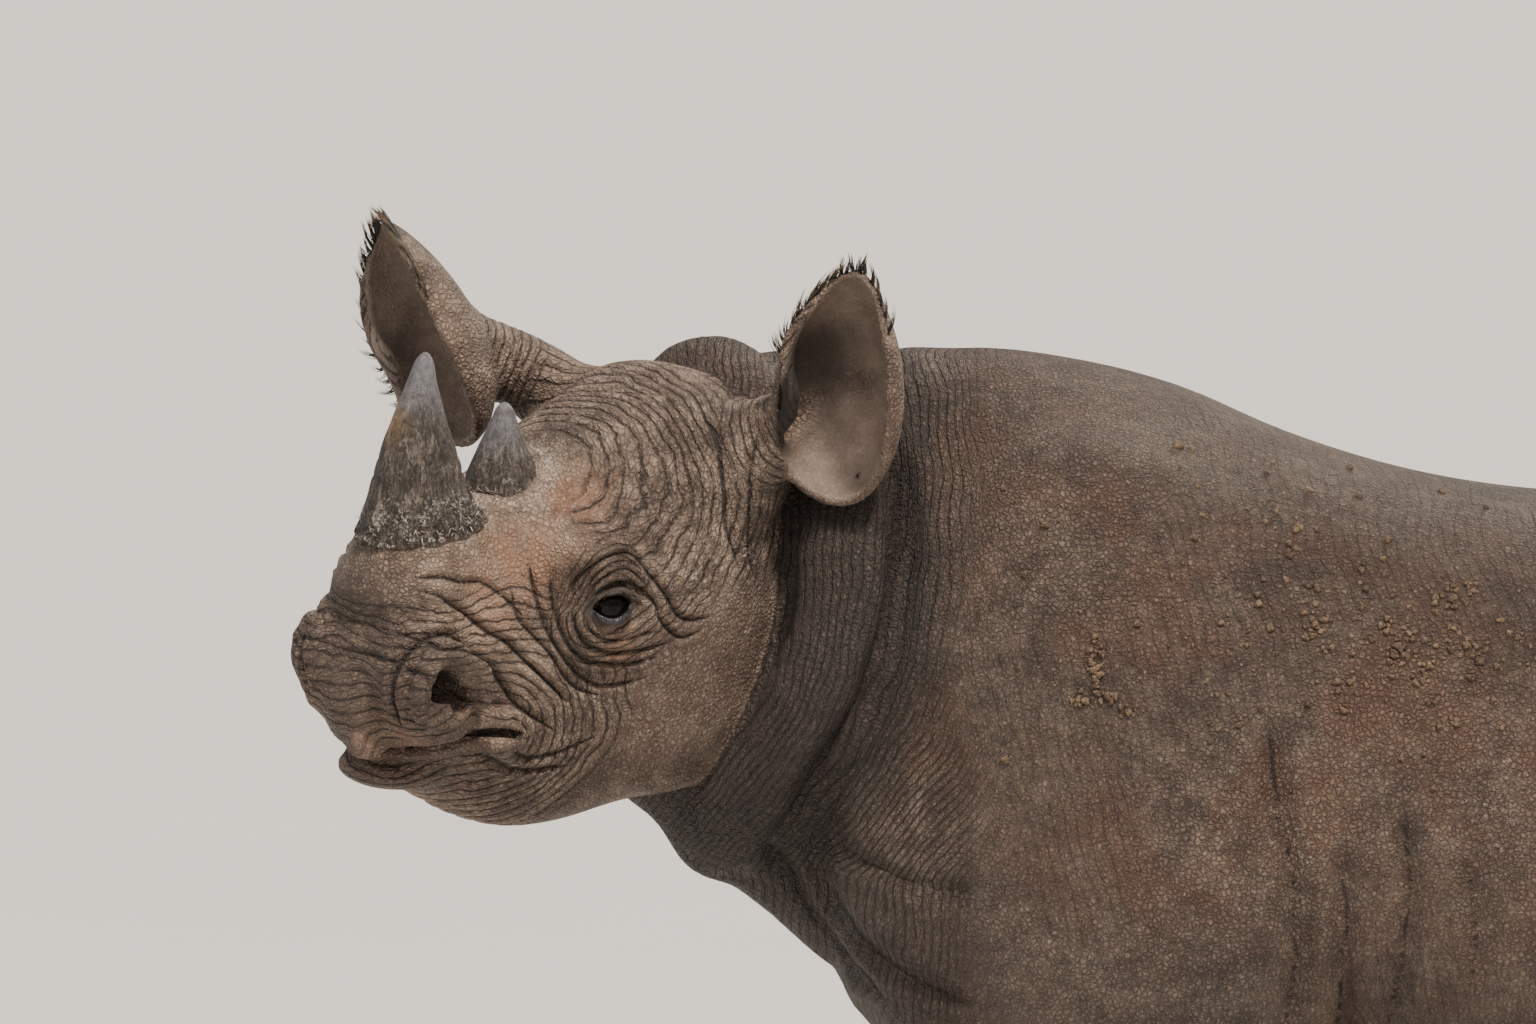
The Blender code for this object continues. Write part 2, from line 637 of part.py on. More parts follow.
def box_cutter(name, centre, size, rows=None):
    """A box with its centre, full size and axes."""
    mesh = bpy.data.meshes.new(name)
    shape = bmesh.new()
    bmesh.ops.create_cube(shape, size=1)
    shape.to_mesh(mesh)
    shape.free()
    turn = Matrix(rows).transposed().to_4x4() if rows is not None else Matrix.Identity(4)
    mesh.transform(Matrix.Translation(centre) @ turn @ Matrix.Diagonal((*size, 1)))
    return make_guide(place_mesh(name, mesh))


def grown(name, source, gap):
    """A copy of a cutter or piece, moved outwards by a gap along its normals."""
    mesh = source.data.copy()
    shape = bmesh.new()
    shape.from_mesh(mesh)
    shape.normal_update()
    for vertex, shift in [(v, v.normal * gap * v.calc_shell_factor()) for v in shape.verts]:
        vertex.co += shift
    shape.to_mesh(mesh)
    shape.free()
    return make_guide(place_mesh(name, mesh))


def boolean(thing, cutter, operation):
    """Cut or clip an object by a cutter."""
    step = thing.modifiers.new(operation.title(), "BOOLEAN")
    step.operation = operation
    step.solver = "EXACT"
    step.object = cutter


def box_distance(cutter):
    """Signed distance to a convex cutter, from the planes of its faces."""
    faces = [(np.array(f.normal), np.array(cutter.data.vertices[f.vertices[0]].co))
             for f in cutter.data.polygons]

    def distance(p):
        return np.max([(p - point) @ normal for normal, point in faces], axis=0)

    return distance


def flesh_node(name, clay, keep, remove, dress):
    """Mesh the flesh inside one region, thin it to a budget, and cut it to shape.

    keep is the box that bounds the node. remove lists the cutters of its neighbours:
    those that are boxes also keep the meshing to a little more than the node.
    """
    cell, budget = DETAIL[name.split("_")[0]]
    pad = 2.5 * cell
    inside = box_distance(keep)
    away = [box_distance(c) for c in remove if len(c.data.polygons) == 6]

    def distance(p):
        value = np.maximum(clay.distance(p), inside(p) - pad)
        for other in away:
            value = np.maximum(value, -other(p) - pad)
        return value

    corners = np.array([v.co for v in keep.data.vertices])
    low = np.maximum(corners.min(axis=0) - 2 * pad, FLESH_LOW)
    high = np.minimum(corners.max(axis=0) + 2 * pad, FLESH_HIGH)
    points, quads = surface_net(distance, low, high, cell)
    mesh = bpy.data.meshes.new(name)
    mesh.from_pydata(points.tolist(), [], quads.tolist())
    thing = place_mesh(name, mesh, dress)
    even = thing.modifiers.new("Even", "REMESH")
    even.mode = "VOXEL"
    even.voxel_size = cell
    thin = thing.modifiers.new("Thin", "DECIMATE")
    thin.ratio = min(1.0, budget / (2 * len(quads)))
    boolean(thing, keep, "INTERSECT")
    for cutter in remove:
        boolean(thing, cutter, "DIFFERENCE")
    mesh.shade_smooth()
    return thing


def horn_mesh(horn):
    """A horn as rings along a bent axis, its base flared and its tip blunt."""
    rings, around = 10, 14
    shape = bmesh.new()
    loops = []
    at = np.array((horn.forward, horn.up - HORN_ROOT))
    step = (horn.length + HORN_ROOT) / (rings - 1)
    for ring in range(rings):
        t = ring / (rings - 1)
        angle = math.radians(horn.lean + horn.bend * t)
        taper = 1 - 0.92 * t + 0.20 * t ** 2
        flare = HORN_FLARE * math.exp(-(t / 0.14) ** 2)
        blunt = math.sqrt(max(0.0, 1 - max(0.0, (t - 0.86) / 0.14) ** 2))
        size = horn.radius * (taper + flare) * max(blunt, 0.30)
        back = Vector((-math.cos(angle), 0, math.sin(angle)))
        loop = []
        for k in range(around):
            turn = 2 * math.pi * k / around
            local = Vector((at[0], 0, at[1])) + back * size * HORN_OVAL[0] * math.cos(turn)
            local.y += size * HORN_OVAL[1] * math.sin(turn)
            loop.append(shape.verts.new(head_point(*local)))
        loops.append(loop)
        at += step * np.array((-math.sin(angle), math.cos(angle)))
    for lower, upper in zip(loops, loops[1:]):
        for k in range(around):
            shape.faces.new((lower[k], lower[(k + 1) % around],
                             upper[(k + 1) % around], upper[k]))
    shape.faces.new(loops[0])
    shape.faces.new(loops[-1])
    bmesh.ops.recalc_face_normals(shape, faces=shape.faces)
    mesh = bpy.data.meshes.new(horn.name)
    shape.to_mesh(mesh)
    shape.free()
    mesh.shade_smooth()
    return mesh


def ball_mesh(name, centre, radii, rings=9, around=12, turn=None):
    """A UV sphere stretched to three radii."""
    shape = bmesh.new()
    bmesh.ops.create_uvsphere(shape, u_segments=around, v_segments=rings, radius=1)
    mesh = bpy.data.meshes.new(name)
    shape.to_mesh(mesh)
    shape.free()
    turn = turn or Matrix.Identity(4)
    mesh.transform(Matrix.Translation(centre) @ turn @ Matrix.Diagonal((*radii, 1)))
    mesh.shade_smooth()
    return mesh


def nail_pockets(leg, foot, radii, dress):
    """Place three nails round the front of a foot, and return the cutters of their pockets."""
    pockets = []
    for number, turn in enumerate((-NAIL_FAN, 0.0, NAIL_FAN), start=1):
        at = Vector((foot[0] - (radii[0] - NAIL_SINK) * math.cos(turn),
                     foot[1] + (radii[1] - NAIL_SINK) * math.sin(turn), NAIL_LIFT))
        facing = Matrix.Rotation(-turn, 4, "Z") @ Matrix.Rotation(NAIL_LEAN, 4, "Y")
        name = f"nail_{leg}_{number}"
        nail = place_mesh(name, ball_mesh(name, at, NAIL_SIZE, 6, 8, facing), dress)
        pockets.append(grown("cut_" + name, nail, CUT))
    return pockets


def ear_box(side, word):
    """The box beyond the plane that cuts one ear's stalk."""
    frame = ear_cut_rows(side)
    _, middle, _ = ear_frame(side)
    centre = middle + (EAR_CUT + EAR_BOX[2] / 2 - middle @ frame[2]) * frame[2]
    return box_cutter("box_ear_" + word, head_point(*centre), EAR_BOX, frame @ HEAD_AXES)


def build():
    """Model every node, then move the animal so that its box is centred."""
    clear_scene()
    skin = material("Hide", (0.19, 0.135, 0.10), 0.75)
    keratin = material("Horn", (0.21, 0.17, 0.14), 0.50)
    glossy = material("Eye", (0.010, 0.008, 0.007), 0.08)
    nail_dress = material("Toenail", (0.16, 0.125, 0.10), 0.55)
    clay = model_flesh()
    sides = ((1, "left"), (-1, "right"))      # in the head's frame, where left is positive

    head_cutters = []
    for horn in HORNS:
        thing = place_mesh(horn.name, horn_mesh(horn), keratin)
        head_cutters.append(grown("cut_" + horn.name, thing, CUT))
    for side, word in sides:
        centre = head_point(0.0, side * EYE_SPREAD, 0.0)
        place_mesh("eye_" + word, ball_mesh("eye_" + word, centre, (EYE_RADIUS,) * 3), glossy)
        pocket = ball_mesh("cut_eye_" + word, centre, (EYE_RADIUS + EYE_POCKET,) * 3)
        head_cutters.append(make_guide(place_mesh("cut_eye_" + word, pocket)))
        gap = head_point(0.0, side * (EYE_SPREAD + LID_DEPTH), 0.0)
        opening = ball_mesh("cut_lids_" + word, gap, EYE_OPENING,
                            turn=Matrix(HEAD_AXES).transposed().to_4x4())
        head_cutters.append(make_guide(place_mesh("cut_lids_" + word, opening)))

    for side, word in sides:
        box = ear_box(side, word)
        ear = Clay()
        ear.add(in_head(model_ear(side).as_shape()))
        ear.carve(padded(model_neck().as_shape(), 2 * EAR_AIR), 0.004)
        flesh_node("ear_" + word, ear, box, [], skin)
        head_cutters.append(grown("cut_ear_" + word, box, CUT))
    head_box = box_cutter("box_head", head_point(HEAD_BACK + HEAD_BOX[0] / 2, 0, -0.02),
                          HEAD_BOX, HEAD_AXES)
    flesh_node("head", clay, head_box, head_cutters, skin)

    upright = 1 / math.sqrt(1 + NECK_SLOPE ** 2)
    neck_rows = np.array([(upright, 0, -NECK_SLOPE * upright), (0, 1, 0),
                          (NECK_SLOPE * upright, 0, upright)])
    neck_box = box_cutter("box_neck", Vector((NECK_BACK - NECK_BOX[0] / 2, 0, NECK_HEIGHT)),
                          NECK_BOX, neck_rows)
    cut_head = grown("cut_head", head_box, CUT)
    flesh_node("neck", clay, neck_box, [cut_head], skin)
    tail_box = box_cutter("box_tail", Vector((TAIL_FRONT + TAIL_BOX[0] / 2, 0, 0.75)), TAIL_BOX)
    flesh_node("tail", clay, tail_box, [], skin)

    trunk_cutters = [grown("cut_neck", neck_box, CUT), cut_head, grown("cut_tail", tail_box, CUT)]
    pairs = (("fore", FORE_BOX, FOREFOOT_X, FORE_REACH, FORE_SPREAD, FOREFOOT_RADII),
             ("hind", HIND_BOX, HINDFOOT_X, HIND_REACH, HIND_SPREAD, HINDFOOT_RADII))
    for pair, (x0, x1, y0, y1, top), foot_x, reach, spread, radii in pairs:
        for side, hand in ((-1, "left"), (1, "right")):
            word = f"{pair}_{hand}"
            box = box_cutter("box_leg_" + word,
                             Vector(((x0 + x1) / 2, side * (y0 + y1) / 2, top / 2)),
                             (x1 - x0, y1 - y0, top))
            foot = (foot_x + reach[side], side * spread)
            pockets = nail_pockets(word, foot, radii, nail_dress)
            flesh_node("leg_" + word, clay, box, pockets, skin)
            trunk_cutters.append(grown("cut_leg_" + word, box, CUT))
    trunk_box = box_cutter("box_trunk", Vector((0.2, 0, 0.8)), TRUNK_BOX)
    flesh_node("trunk", clay, trunk_box, trunk_cutters, skin)

    for thing in bpy.data.objects:
        thing.location.y += MID_PLANE_Y


if __name__ == "__main__":
    build()
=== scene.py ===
"""A young black rhinoceros, life-size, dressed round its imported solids.

One skin replaces the nodes of flesh. It is the zero surface of a blend of lofts,
ellipsoids and tubes, meshed finely on the head and coarsely on the body, with its
folds moved in the mesh and its finest creases in the material. Horns, eyes,
toenails, hairs and dried mud are pieces of their own.

Frame: metres, +Z up. The animal faces -X with its left flank towards -Y, and turns
its head to its left.
"""
from __future__ import annotations
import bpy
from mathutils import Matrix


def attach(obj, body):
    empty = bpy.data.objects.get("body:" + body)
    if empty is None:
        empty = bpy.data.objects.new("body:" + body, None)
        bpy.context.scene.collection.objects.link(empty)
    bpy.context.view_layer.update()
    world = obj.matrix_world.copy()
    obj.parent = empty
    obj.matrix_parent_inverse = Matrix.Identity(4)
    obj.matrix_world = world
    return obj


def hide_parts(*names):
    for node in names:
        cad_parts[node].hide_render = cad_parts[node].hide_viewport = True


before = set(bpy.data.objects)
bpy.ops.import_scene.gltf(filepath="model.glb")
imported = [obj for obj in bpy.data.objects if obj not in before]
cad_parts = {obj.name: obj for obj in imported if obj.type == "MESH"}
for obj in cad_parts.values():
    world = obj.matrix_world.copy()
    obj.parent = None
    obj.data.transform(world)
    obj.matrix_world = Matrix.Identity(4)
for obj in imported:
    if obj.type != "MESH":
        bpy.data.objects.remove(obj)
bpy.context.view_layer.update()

import logging
import math
from collections.abc import Callable, Sequence
from dataclasses import dataclass, field
from enum import Enum

import bpy
import numpy as np
from mathutils import Matrix, Vector
from numpy.typing import NDArray

Array = NDArray[np.float64]
Triple = tuple[float, float, float]
Pair = tuple[float, float]
Distance = Callable[[Array], Array]
Socket = bpy.types.NodeSocket
LOG = logging.getLogger("rhinoceros")
MID_PLANE = np.array([0.0, 0.052, 0.0])     # the body's middle plane in the row frame
BODY = "root"
FAR = 9.0                                   # a stand-in for any large distance
HASH_WAY, HASH_GAIN = np.array([127.1, 311.7, 74.7]), 43758.5453     # no pattern in common


# ------------------------------------------------------------------ curves and noise
def curve(knots: Sequence[float] | Array, values: Sequence[float] | Array) -> Callable[[Array], Array]:
    """A smooth function through pairs: cubic Hermite pieces with slopes from their neighbours.

    Args:
        knots: increasing places.
        values: the value at each place.
    Returns:
        A function of an array of places, held constant beyond the ends.
    """
    knots, values = np.asarray(knots, float), np.asarray(values, float)
    slopes = np.gradient(values, knots)

    def read(t: Array) -> Array:
        """The value at each place in t.

        Args:
            t: an array of places.
        Returns:
            The values there.
        """
        t = np.clip(t, knots[0], knots[-1])
        k = np.clip(np.searchsorted(knots, t) - 1, 0, len(knots) - 2)
        step = knots[k + 1] - knots[k]
        s = (t - knots[k]) / step
        a, b = values[k], values[k + 1]
        da, db = slopes[k] * step, slopes[k + 1] * step
        return a + s * (da + s * (3 * (b - a) - 2 * da - db + s * (2 * (a - b) + da + db)))

    return read


def smooth_path(points: Sequence[Sequence[float]] | Array, pieces: int = 6) -> Array:
    """Points along a smooth curve through the given ones, so many pieces to a span.

    Args:
        points: the places to pass.
        pieces: how many pieces to a span.
    Returns:
        The points, with the first and last as given.
    """
    points = np.asarray(points, float)
    knots = np.r_[0, np.cumsum(np.linalg.norm(np.diff(points, axis=0), axis=1))]
    t = np.linspace(0, knots[-1], pieces * (len(points) - 1) + 1)
    return np.stack([curve(knots, column)(t) for column in points.T], axis=1)


def smooth_min(a: Array, b: Array, width: float) -> Array:
    """Rounded union of distances: the lesser less h^2 width / 4, h being 1 less gap / width."""
    h = np.maximum(width - np.abs(a - b), 0) / width
    return np.minimum(a, b) - h * h * width / 4


def step(low: float, high: float, value: Array) -> Array:
    """A smooth step from 0 at low to 1 at high, which may be the lesser: 3t^2 - 2t^3."""
    t = np.clip((value - low) / (high - low), 0, 1)
    return t * t * (3 - 2 * t)


def bell(distance: Array, width: float) -> Array:
    """A bump of height 1 and the given width: exp of minus the square."""
    return np.exp(-(distance / width) ** 2)


def unit(rows: Array) -> Array:
    """Rows scaled to a length of 1."""
    return rows / np.linalg.norm(rows, axis=1)[:, None]


def far_from(p: Array, place: Sequence[float]) -> Array:
    """Distance of points from a place."""
    return np.linalg.norm(p - np.array(place), axis=1)


def noise(p: Array, size: float, seed: int = 0) -> Array:
    """Smooth noise from -1 to 1 at points, with lumps of a size in metres.

    Each corner of a cubic grid has a hashed value: the fraction of a large sine of its
    place. A point takes the smooth mean of the eight corners round it.

    Args:
        p: points, one to a row.
        size: the lumps' size.
        seed: picks one of many such noises.
    Returns:
        A value from -1 to 1 for each point.
    """
    q = p / size + 37.7 * (seed + 1)
    cell = np.floor(q)
    t = q - cell
    t = t * t * (3 - 2 * t)
    total = np.zeros(len(p))
    for corner in np.ndindex(2, 2, 2):
        c = cell + corner
        value = np.sin(c @ HASH_WAY + seed) * HASH_GAIN
        weight = np.prod(np.where(np.array(corner), t, 1 - t), axis=1)
        total += weight * (value - np.floor(value))
    return 2 * total - 1


def segment_distance(p: Array, path: Array) -> tuple[Array, Array]:
    """Distance of points to a chain of straight pieces, and how far along it, 0 to 1.

    The nearest place of a piece lies at the share (p - a) . run / run . run of it, kept
    between 0 and 1.

    Args:
        p: points, one to a row.
        path: the chain's corners.
    Returns:
        The distances and the shares of the chain.
    """
    best, along = np.full(len(p), FAR), np.zeros(len(p))
    for k, (a, b) in enumerate(zip(path[:-1], path[1:])):
        run = b - a
        t = np.clip((p - a) @ run / (run @ run), 0, 1)
        far = np.linalg.norm(p - a - t[:, None] * run, axis=1)
        closer = far < best
        best = np.where(closer, far, best)
        along = np.where(closer, (k + t) / (len(path) - 1), along)
    return best, along


# ------------------------------------------------------------------ solids as distances
@dataclass(frozen=True)
class Solid:
    """A solid as a signed distance of points, with the corners of a box round it."""

    measure: Distance
    low: Array
    high: Array


def loft(stations: Sequence[Sequence[float]], power: float, front: float = 0.0,
         back: float = 0.0) -> Solid:
    """A loft along X of superellipses whose halves meet at their widest height.

    Args:
        stations: rows of (x, middle across, half width, low, widest, high).
        power: the superellipse's power: 2 is an ellipse, more is squarer.
        front: length over which the first end rounds off.
        back: the same for the last end.
    Returns:
        The solid; inside it the distance is (rho - 1) over the slope of rho.
    """
    table = np.asarray(stations, float)
    place = table[:, 0]
    middle, width, low, wide, high = (curve(place, column) for column in table.T[1:])
    first, last = place[0], place[-1]

    def measure(p: Array) -> Array:
        """Signed distance to the loft.

        Args:
            p: points, one to a row.
        Returns:
            Their signed distances, negative inside.
        """
        t = p[:, 0]
        cap = np.ones_like(t)
        if front:
            cap *= 1 - np.clip((first + front - t) / front, 0, 0.999) ** 2.2
        if back:
            cap *= 1 - np.clip((t - last + back) / back, 0, 0.999) ** 2.2
        cap = np.sqrt(cap)
        h = p[:, 2] - wide(t)
        rise = np.where(h > 0, high(t) - wide(t), wide(t) - low(t)) * cap
        span = width(t) * cap
        a, b = np.abs(p[:, 1] - middle(t)) / span + 1e-9, np.abs(h) / rise + 1e-9
        rho = (a ** power + b ** power) ** (1 / power)
        slope = np.hypot((a / rho) ** (power - 1) / span, (b / rho) ** (power - 1) / rise)
        inside = (rho - 1) / slope
        outside = np.maximum(first - t, t - last)
        return np.where(outside > 0, np.hypot(np.maximum(inside, 0), outside), inside)

    half = table[:, 2].max() + np.abs(table[:, 1]).max()
    return Solid(measure, np.array((first, -half, table[:, 3].min())),
                 np.array((last, half, table[:, 5].max())))


def ellipsoid(centre: Sequence[float], radii: Sequence[float], turn: Triple = (0, 0, 0)) -> Solid:
    """An ellipsoid turned by Euler angles in degrees: k(k - 1) over the length of q / r^2.

    Args:
        centre: its middle.
        radii: its half axes.
        turn: angles in degrees about X, Y and Z.
    Returns:
        The solid.
    """
    centre, radii = np.asarray(centre, float), np.asarray(radii, float)
    turned = np.array(Matrix.Identity(3))
    for angle, letter in zip(turn, "XYZ"):
        turned = np.array(Matrix.Rotation(math.radians(angle), 3, letter)) @ turned

    def measure(p: Array) -> Array:
        """Signed distance to the ellipsoid.

        Args:
            p: points, one to a row.
        Returns:
            Their signed distances, negative inside.
        """
        q = (p - centre) @ turned
        near = np.linalg.norm(q / radii, axis=1) + 1e-9
        return near * (near - 1) / (np.linalg.norm(q / radii ** 2, axis=1) + 1e-9)

    reach = np.sqrt((turned ** 2) @ radii ** 2)
    return Solid(measure, centre - reach, centre + reach)


def tube(points: Sequence[Sequence[float]] | Array, radii: Sequence[float] | Array) -> Solid:
    """A chain of tapered rods through the points, each with its own end radii.

    The distance is that to the rod's middle line, less a radius that runs straight from
    one end to the other.

    Args:
        points: the rods' ends.
        radii: the radius at each end.
    Returns:
        The solid.
    """
    points, radii = np.asarray(points, float), np.asarray(radii, float)

    def measure(p: Array) -> Array:
        """Signed distance to the nearest rod.

        Args:
            p: points, one to a row.
        Returns:
            Their signed distances, negative inside.
        """
        best = np.full(len(p), FAR)
        for a, b, ra, rb in zip(points[:-1], points[1:], radii[:-1], radii[1:]):
            run = b - a
            t = np.clip((p - a) @ run / (run @ run), 0, 1)
            q = p - a - t[:, None] * run
            best = np.minimum(best, np.linalg.norm(q, axis=1) - ra - t * (rb - ra))
        return best

    pad = radii.max()
    return Solid(measure, points.min(axis=0) - pad, points.max(axis=0) + pad)


def leg_column(stations: Sequence[Sequence[float]], reach: float, top: float) -> Solid:
    """A leg of elliptic sections (height, x, y, half depth, half width).

    With rho the scaled distance from the axis, the distance is rho (rho - 1) over the
    length of the offset divided twice by the half sizes.

    Args:
        stations: the sections from the floor up.
        reach: how far the foot stands behind its plain place.
        top: the height at which that slope has died out.
    Returns:
        The solid, a little longer than the leg below the floor.
    """
    height, x, y, depth, width = (np.array(c, float) for c in zip(*stations))
    x = x + reach * np.clip(1 - height / top, 0, 1)
    read_x, read_y, read_depth, read_width = (curve(height, c) for c in (x, y, depth, width))

    def measure(p: Array) -> Array:
        """Signed distance to the column.

        Args:
            p: points, one to a row.
        Returns:
            Their signed distances, negative inside.
        """
        t = p[:, 2]
        a = (p[:, 0] - read_x(t)) / read_depth(t)
        b = (p[:, 1] - read_y(t)) / read_width(t)
        rho = np.hypot(a, b) + 1e-9
        inside = (rho - 1) * rho / np.hypot(a / read_depth(t), b / read_width(t))
        over = np.maximum(t - height[-1], -0.02 - t)
        return np.where(over > 0, np.hypot(np.maximum(inside, 0), over), inside)

    pad = max(depth.max(), width.max())
    return Solid(measure, np.array([x.min() - pad, y.min() - pad, -0.02]),
                 np.array([x.max() + pad, y.max() + pad, height[-1]]))


@dataclass
class Clay:
    """A blend of solids: each is added or carved with its own rounding width."""

    steps: list[tuple[Solid, float, int]] = field(default_factory=list)
    empty: float = 0.5              # the distance where no solid is near
    margin: float = 0.03            # how far beyond its rounding a solid is measured

    def add(self, solid: Solid, width: float = 0.03) -> None:
        """Blend a solid on."""
        self.steps.append((solid, width, 1))

    def carve(self, solid: Solid, width: float = 0.01) -> None:
        """Cut a solid away."""
        self.steps.append((solid, width, -1))

    def solid(self) -> Solid:
        """The whole blend as one solid, to add to another.

        Returns:
            A solid with the blend's distance and the box of what is added.
        """
        added = [s for s, _, sign in self.steps if sign > 0]
        return Solid(self.distance, np.min([s.low for s in added], axis=0),
                     np.max([s.high for s in added], axis=0))

    def distance(self, p: Array) -> Array:
        """Signed distance of points to the blend; solids far from a point are skipped.

        Args:
            p: points, one to a row.
        Returns:
            Their signed distances, negative inside.
        """
        result = np.full(len(p), self.empty)
        for solid, width, sign in self.steps:
            margin = width + self.margin
            near = np.all((p > solid.low - margin) & (p < solid.high + margin), axis=1)
            if near.any():
                value = solid.measure(p[near])
                result[near] = (smooth_min(result[near], value, width) if sign > 0
                                else -smooth_min(-result[near], value, width))
        return result


# ------------------------------------------------------------------ head's own frame
@dataclass(frozen=True)
class HeadFrame:
    """The head's own frame: forward, left and up, from a point between the eyes."""

    place: Triple = (-0.775, -0.201, 0.985)
    turn: float = 45.0          # degrees to the animal's left
    nod: float = 4.0            # nose down
    tilt: float = 8.0           # left side down

    def axes(self) -> Array:
        """Rows: forward, left and up in the body's frame.

        Returns:
            Three unit rows.
        """
        turn = Matrix.Rotation(math.radians(self.turn), 3, "Z")
        forward, left, up = (np.array(turn @ Vector(v))
                             for v in ((-1, 0, 0), (0, -1, 0), (0, 0, 1)))
        c, s = math.cos(math.radians(self.nod)), math.sin(math.radians(self.nod))
        forward, up = c * forward - s * up, c * up + s * forward
        c, s = math.cos(math.radians(self.tilt)), math.sin(math.radians(self.tilt))
        left, up = c * left - s * up, c * up + s * left
        return np.array([forward, left, up])

    def inward(self, p: Array) -> Array:
        """Points of the body's frame in the head's."""
        return (p - np.array(self.place)) @ self.axes().T

    def outward(self, q: Array) -> Array:
        """Points of the head's frame in the body's."""
        return np.asarray(q, float) @ self.axes() + np.array(self.place)

    def carry(self, solid: Solid) -> Solid:
        """A solid of the head's frame, set into the body's.

        Args:
            solid: a solid in the head's frame.
        Returns:
            The same in the body's frame.
        """
        corners = self.outward(np.array([[x, y, z] for x in (solid.low[0], solid.high[0])
                                         for y in (solid.low[1], solid.high[1])
                                         for z in (solid.low[2], solid.high[2])]))
        return Solid(lambda p: solid.measure(self.inward(p)), corners.min(0), corners.max(0))


HEAD = HeadFrame()


# ------------------------------------------------------------------ meshes
def surface_net(distance: Distance, low: Sequence[float], high: Sequence[float],
                cell: float) -> tuple[Array, Array]:
    """Quads on the zero surface: one point in each grid cell that the surface crosses.

    The point is the mean of the places where the cell's edges change sign, and each
    grid edge that changes sign gives one quad through the four cells round it.

    Args:
        distance: the signed distance of points.
        low: lowest corner of the grid.
        high: highest corner.
        cell: the grid's spacing.
    Returns:
        The points, and the corners of each quad.
    """
    low = np.asarray(low, float)
    block, reach = 4, 1.6       # cells to a block, and how many blocks off it is looked into
    count = np.ceil((np.asarray(high) - low) / cell).astype(int) + 1
    blocks = -(-count // block) + 1
    grid = np.stack(np.meshgrid(*(np.arange(n) for n in blocks), indexing="ij"), axis=-1)
    rough = distance((low + grid.reshape(-1, 3) * cell * block)).reshape(blocks)

    def spread(values: Array) -> Array:
        """The blocks' values on the cells' own grid."""
        fine = np.repeat(np.repeat(np.repeat(values, block, 0), block, 1), block, 2)
        return fine[tuple(slice(block // 2, block // 2 + n) for n in count)].copy()

    live, values = spread(np.abs(rough) < reach * cell * block), spread(rough)
    values[live] = distance(low + np.argwhere(live) * cell)
    inside = values < 0
    corners = np.array(list(np.ndindex(2, 2, 2)))
    window = [inside[tuple(slice(c, n - 1 + c) for c, n in zip(corner, count))]
              for corner in corners]
    crossed = np.any(window, axis=0) & ~np.all(window, axis=0)
    cells = np.argwhere(crossed)
    number = np.full(crossed.shape, -1)
    number[crossed] = np.arange(len(cells))
    total, hits = np.zeros((len(cells), 3)), np.zeros(len(cells))
    for axis in range(3):
        for corner in corners[corners[:, axis] == 0]:
            start = cells + corner
            end = start + np.eye(3, dtype=int)[axis]
            a, b = values[tuple(start.T)], values[tuple(end.T)]
            change = (a < 0) != (b < 0)
            t = np.where(change, a / np.where(change, a - b, 1), 0)
            total += np.where(change[:, None], corner + t[:, None] * np.eye(3)[axis], 0)
            hits += change
    points = low + (cells + total / hits[:, None]) * cell
    quads = []
    for axis in range(3):
        u, v = (axis + 1) % 3, (axis + 2) % 3
        here = [slice(1, n - 1) for n in count]
        here[axis] = slice(0, count[axis] - 1)
        there = list(here)
        there[axis] = slice(1, count[axis])
        a, b = inside[tuple(here)], inside[tuple(there)]
        offset = np.array([s.start for s in here])
        for mask, order in ((a & ~b, (0, 1, 2, 3)), (~a & b, (3, 2, 1, 0))):
            at = np.argwhere(mask) + offset
            ring = []
            for du, dv in ((1, 1), (0, 1), (0, 0), (1, 0)):
                moved = at.copy()
                moved[:, u] -= du
                moved[:, v] -= dv
                ring.append(number[tuple(moved.T)])
            quads.append(np.stack([ring[k] for k in order], axis=1))
    return points, np.concatenate(quads)


def split_long_edges(points: Array, faces: Array, longest: Distance
                     ) -> tuple[Array, Array]:
    """Split each edge that is too long at its middle, and its triangles with it.

    Args:
        points: the mesh's points.
        faces: its triangles.
        longest: the longest edge allowed at each of an array of places.
    Returns:
        The new points and triangles. A triangle with one, two or three split edges
        becomes two, three or four.
    """
    sides = np.sort(faces[:, [[0, 1], [1, 2], [2, 0]]], axis=2).reshape(-1, 2)
    key = sides[:, 0] * len(points) + sides[:, 1]
    _, first, inverse = np.unique(key, return_index=True, return_inverse=True)
    edge = sides[first]
    a, b = points[edge[:, 0]], points[edge[:, 1]]
    middle = (a + b) / 2
    split = np.linalg.norm(a - b, axis=1) > longest(middle)
    number = np.full(len(edge), -1)
    number[split] = len(points) + np.arange(split.sum())
    points = np.concatenate([points, middle[split]])
    cut = number[inverse].reshape(-1, 3)
    whole = (cut < 0).all(axis=1)
    made = [faces[whole]]
    for turn in range(3):
        f, m = np.roll(faces, -turn, axis=1), np.roll(cut, -turn, axis=1)
        one = (m[:, 0] >= 0) & (m[:, 1] < 0) & (m[:, 2] < 0)
        two = (m[:, 0] >= 0) & (m[:, 1] >= 0) & (m[:, 2] < 0)
        for pick, triples in ((one, ((0, 3, 2), (3, 1, 2))),
                              (two, ((3, 1, 4), (0, 3, 4), (0, 4, 2)))):
            table = np.concatenate([f[pick], m[pick]], axis=1)
            made += [table[:, t] for t in triples]
    three = (cut >= 0).all(axis=1)
    table = np.concatenate([faces[three], cut[three]], axis=1)
    made += [table[:, t] for t in ((0, 3, 5), (3, 1, 4), (5, 4, 2), (3, 4, 5))]
    return points, np.concatenate(made)


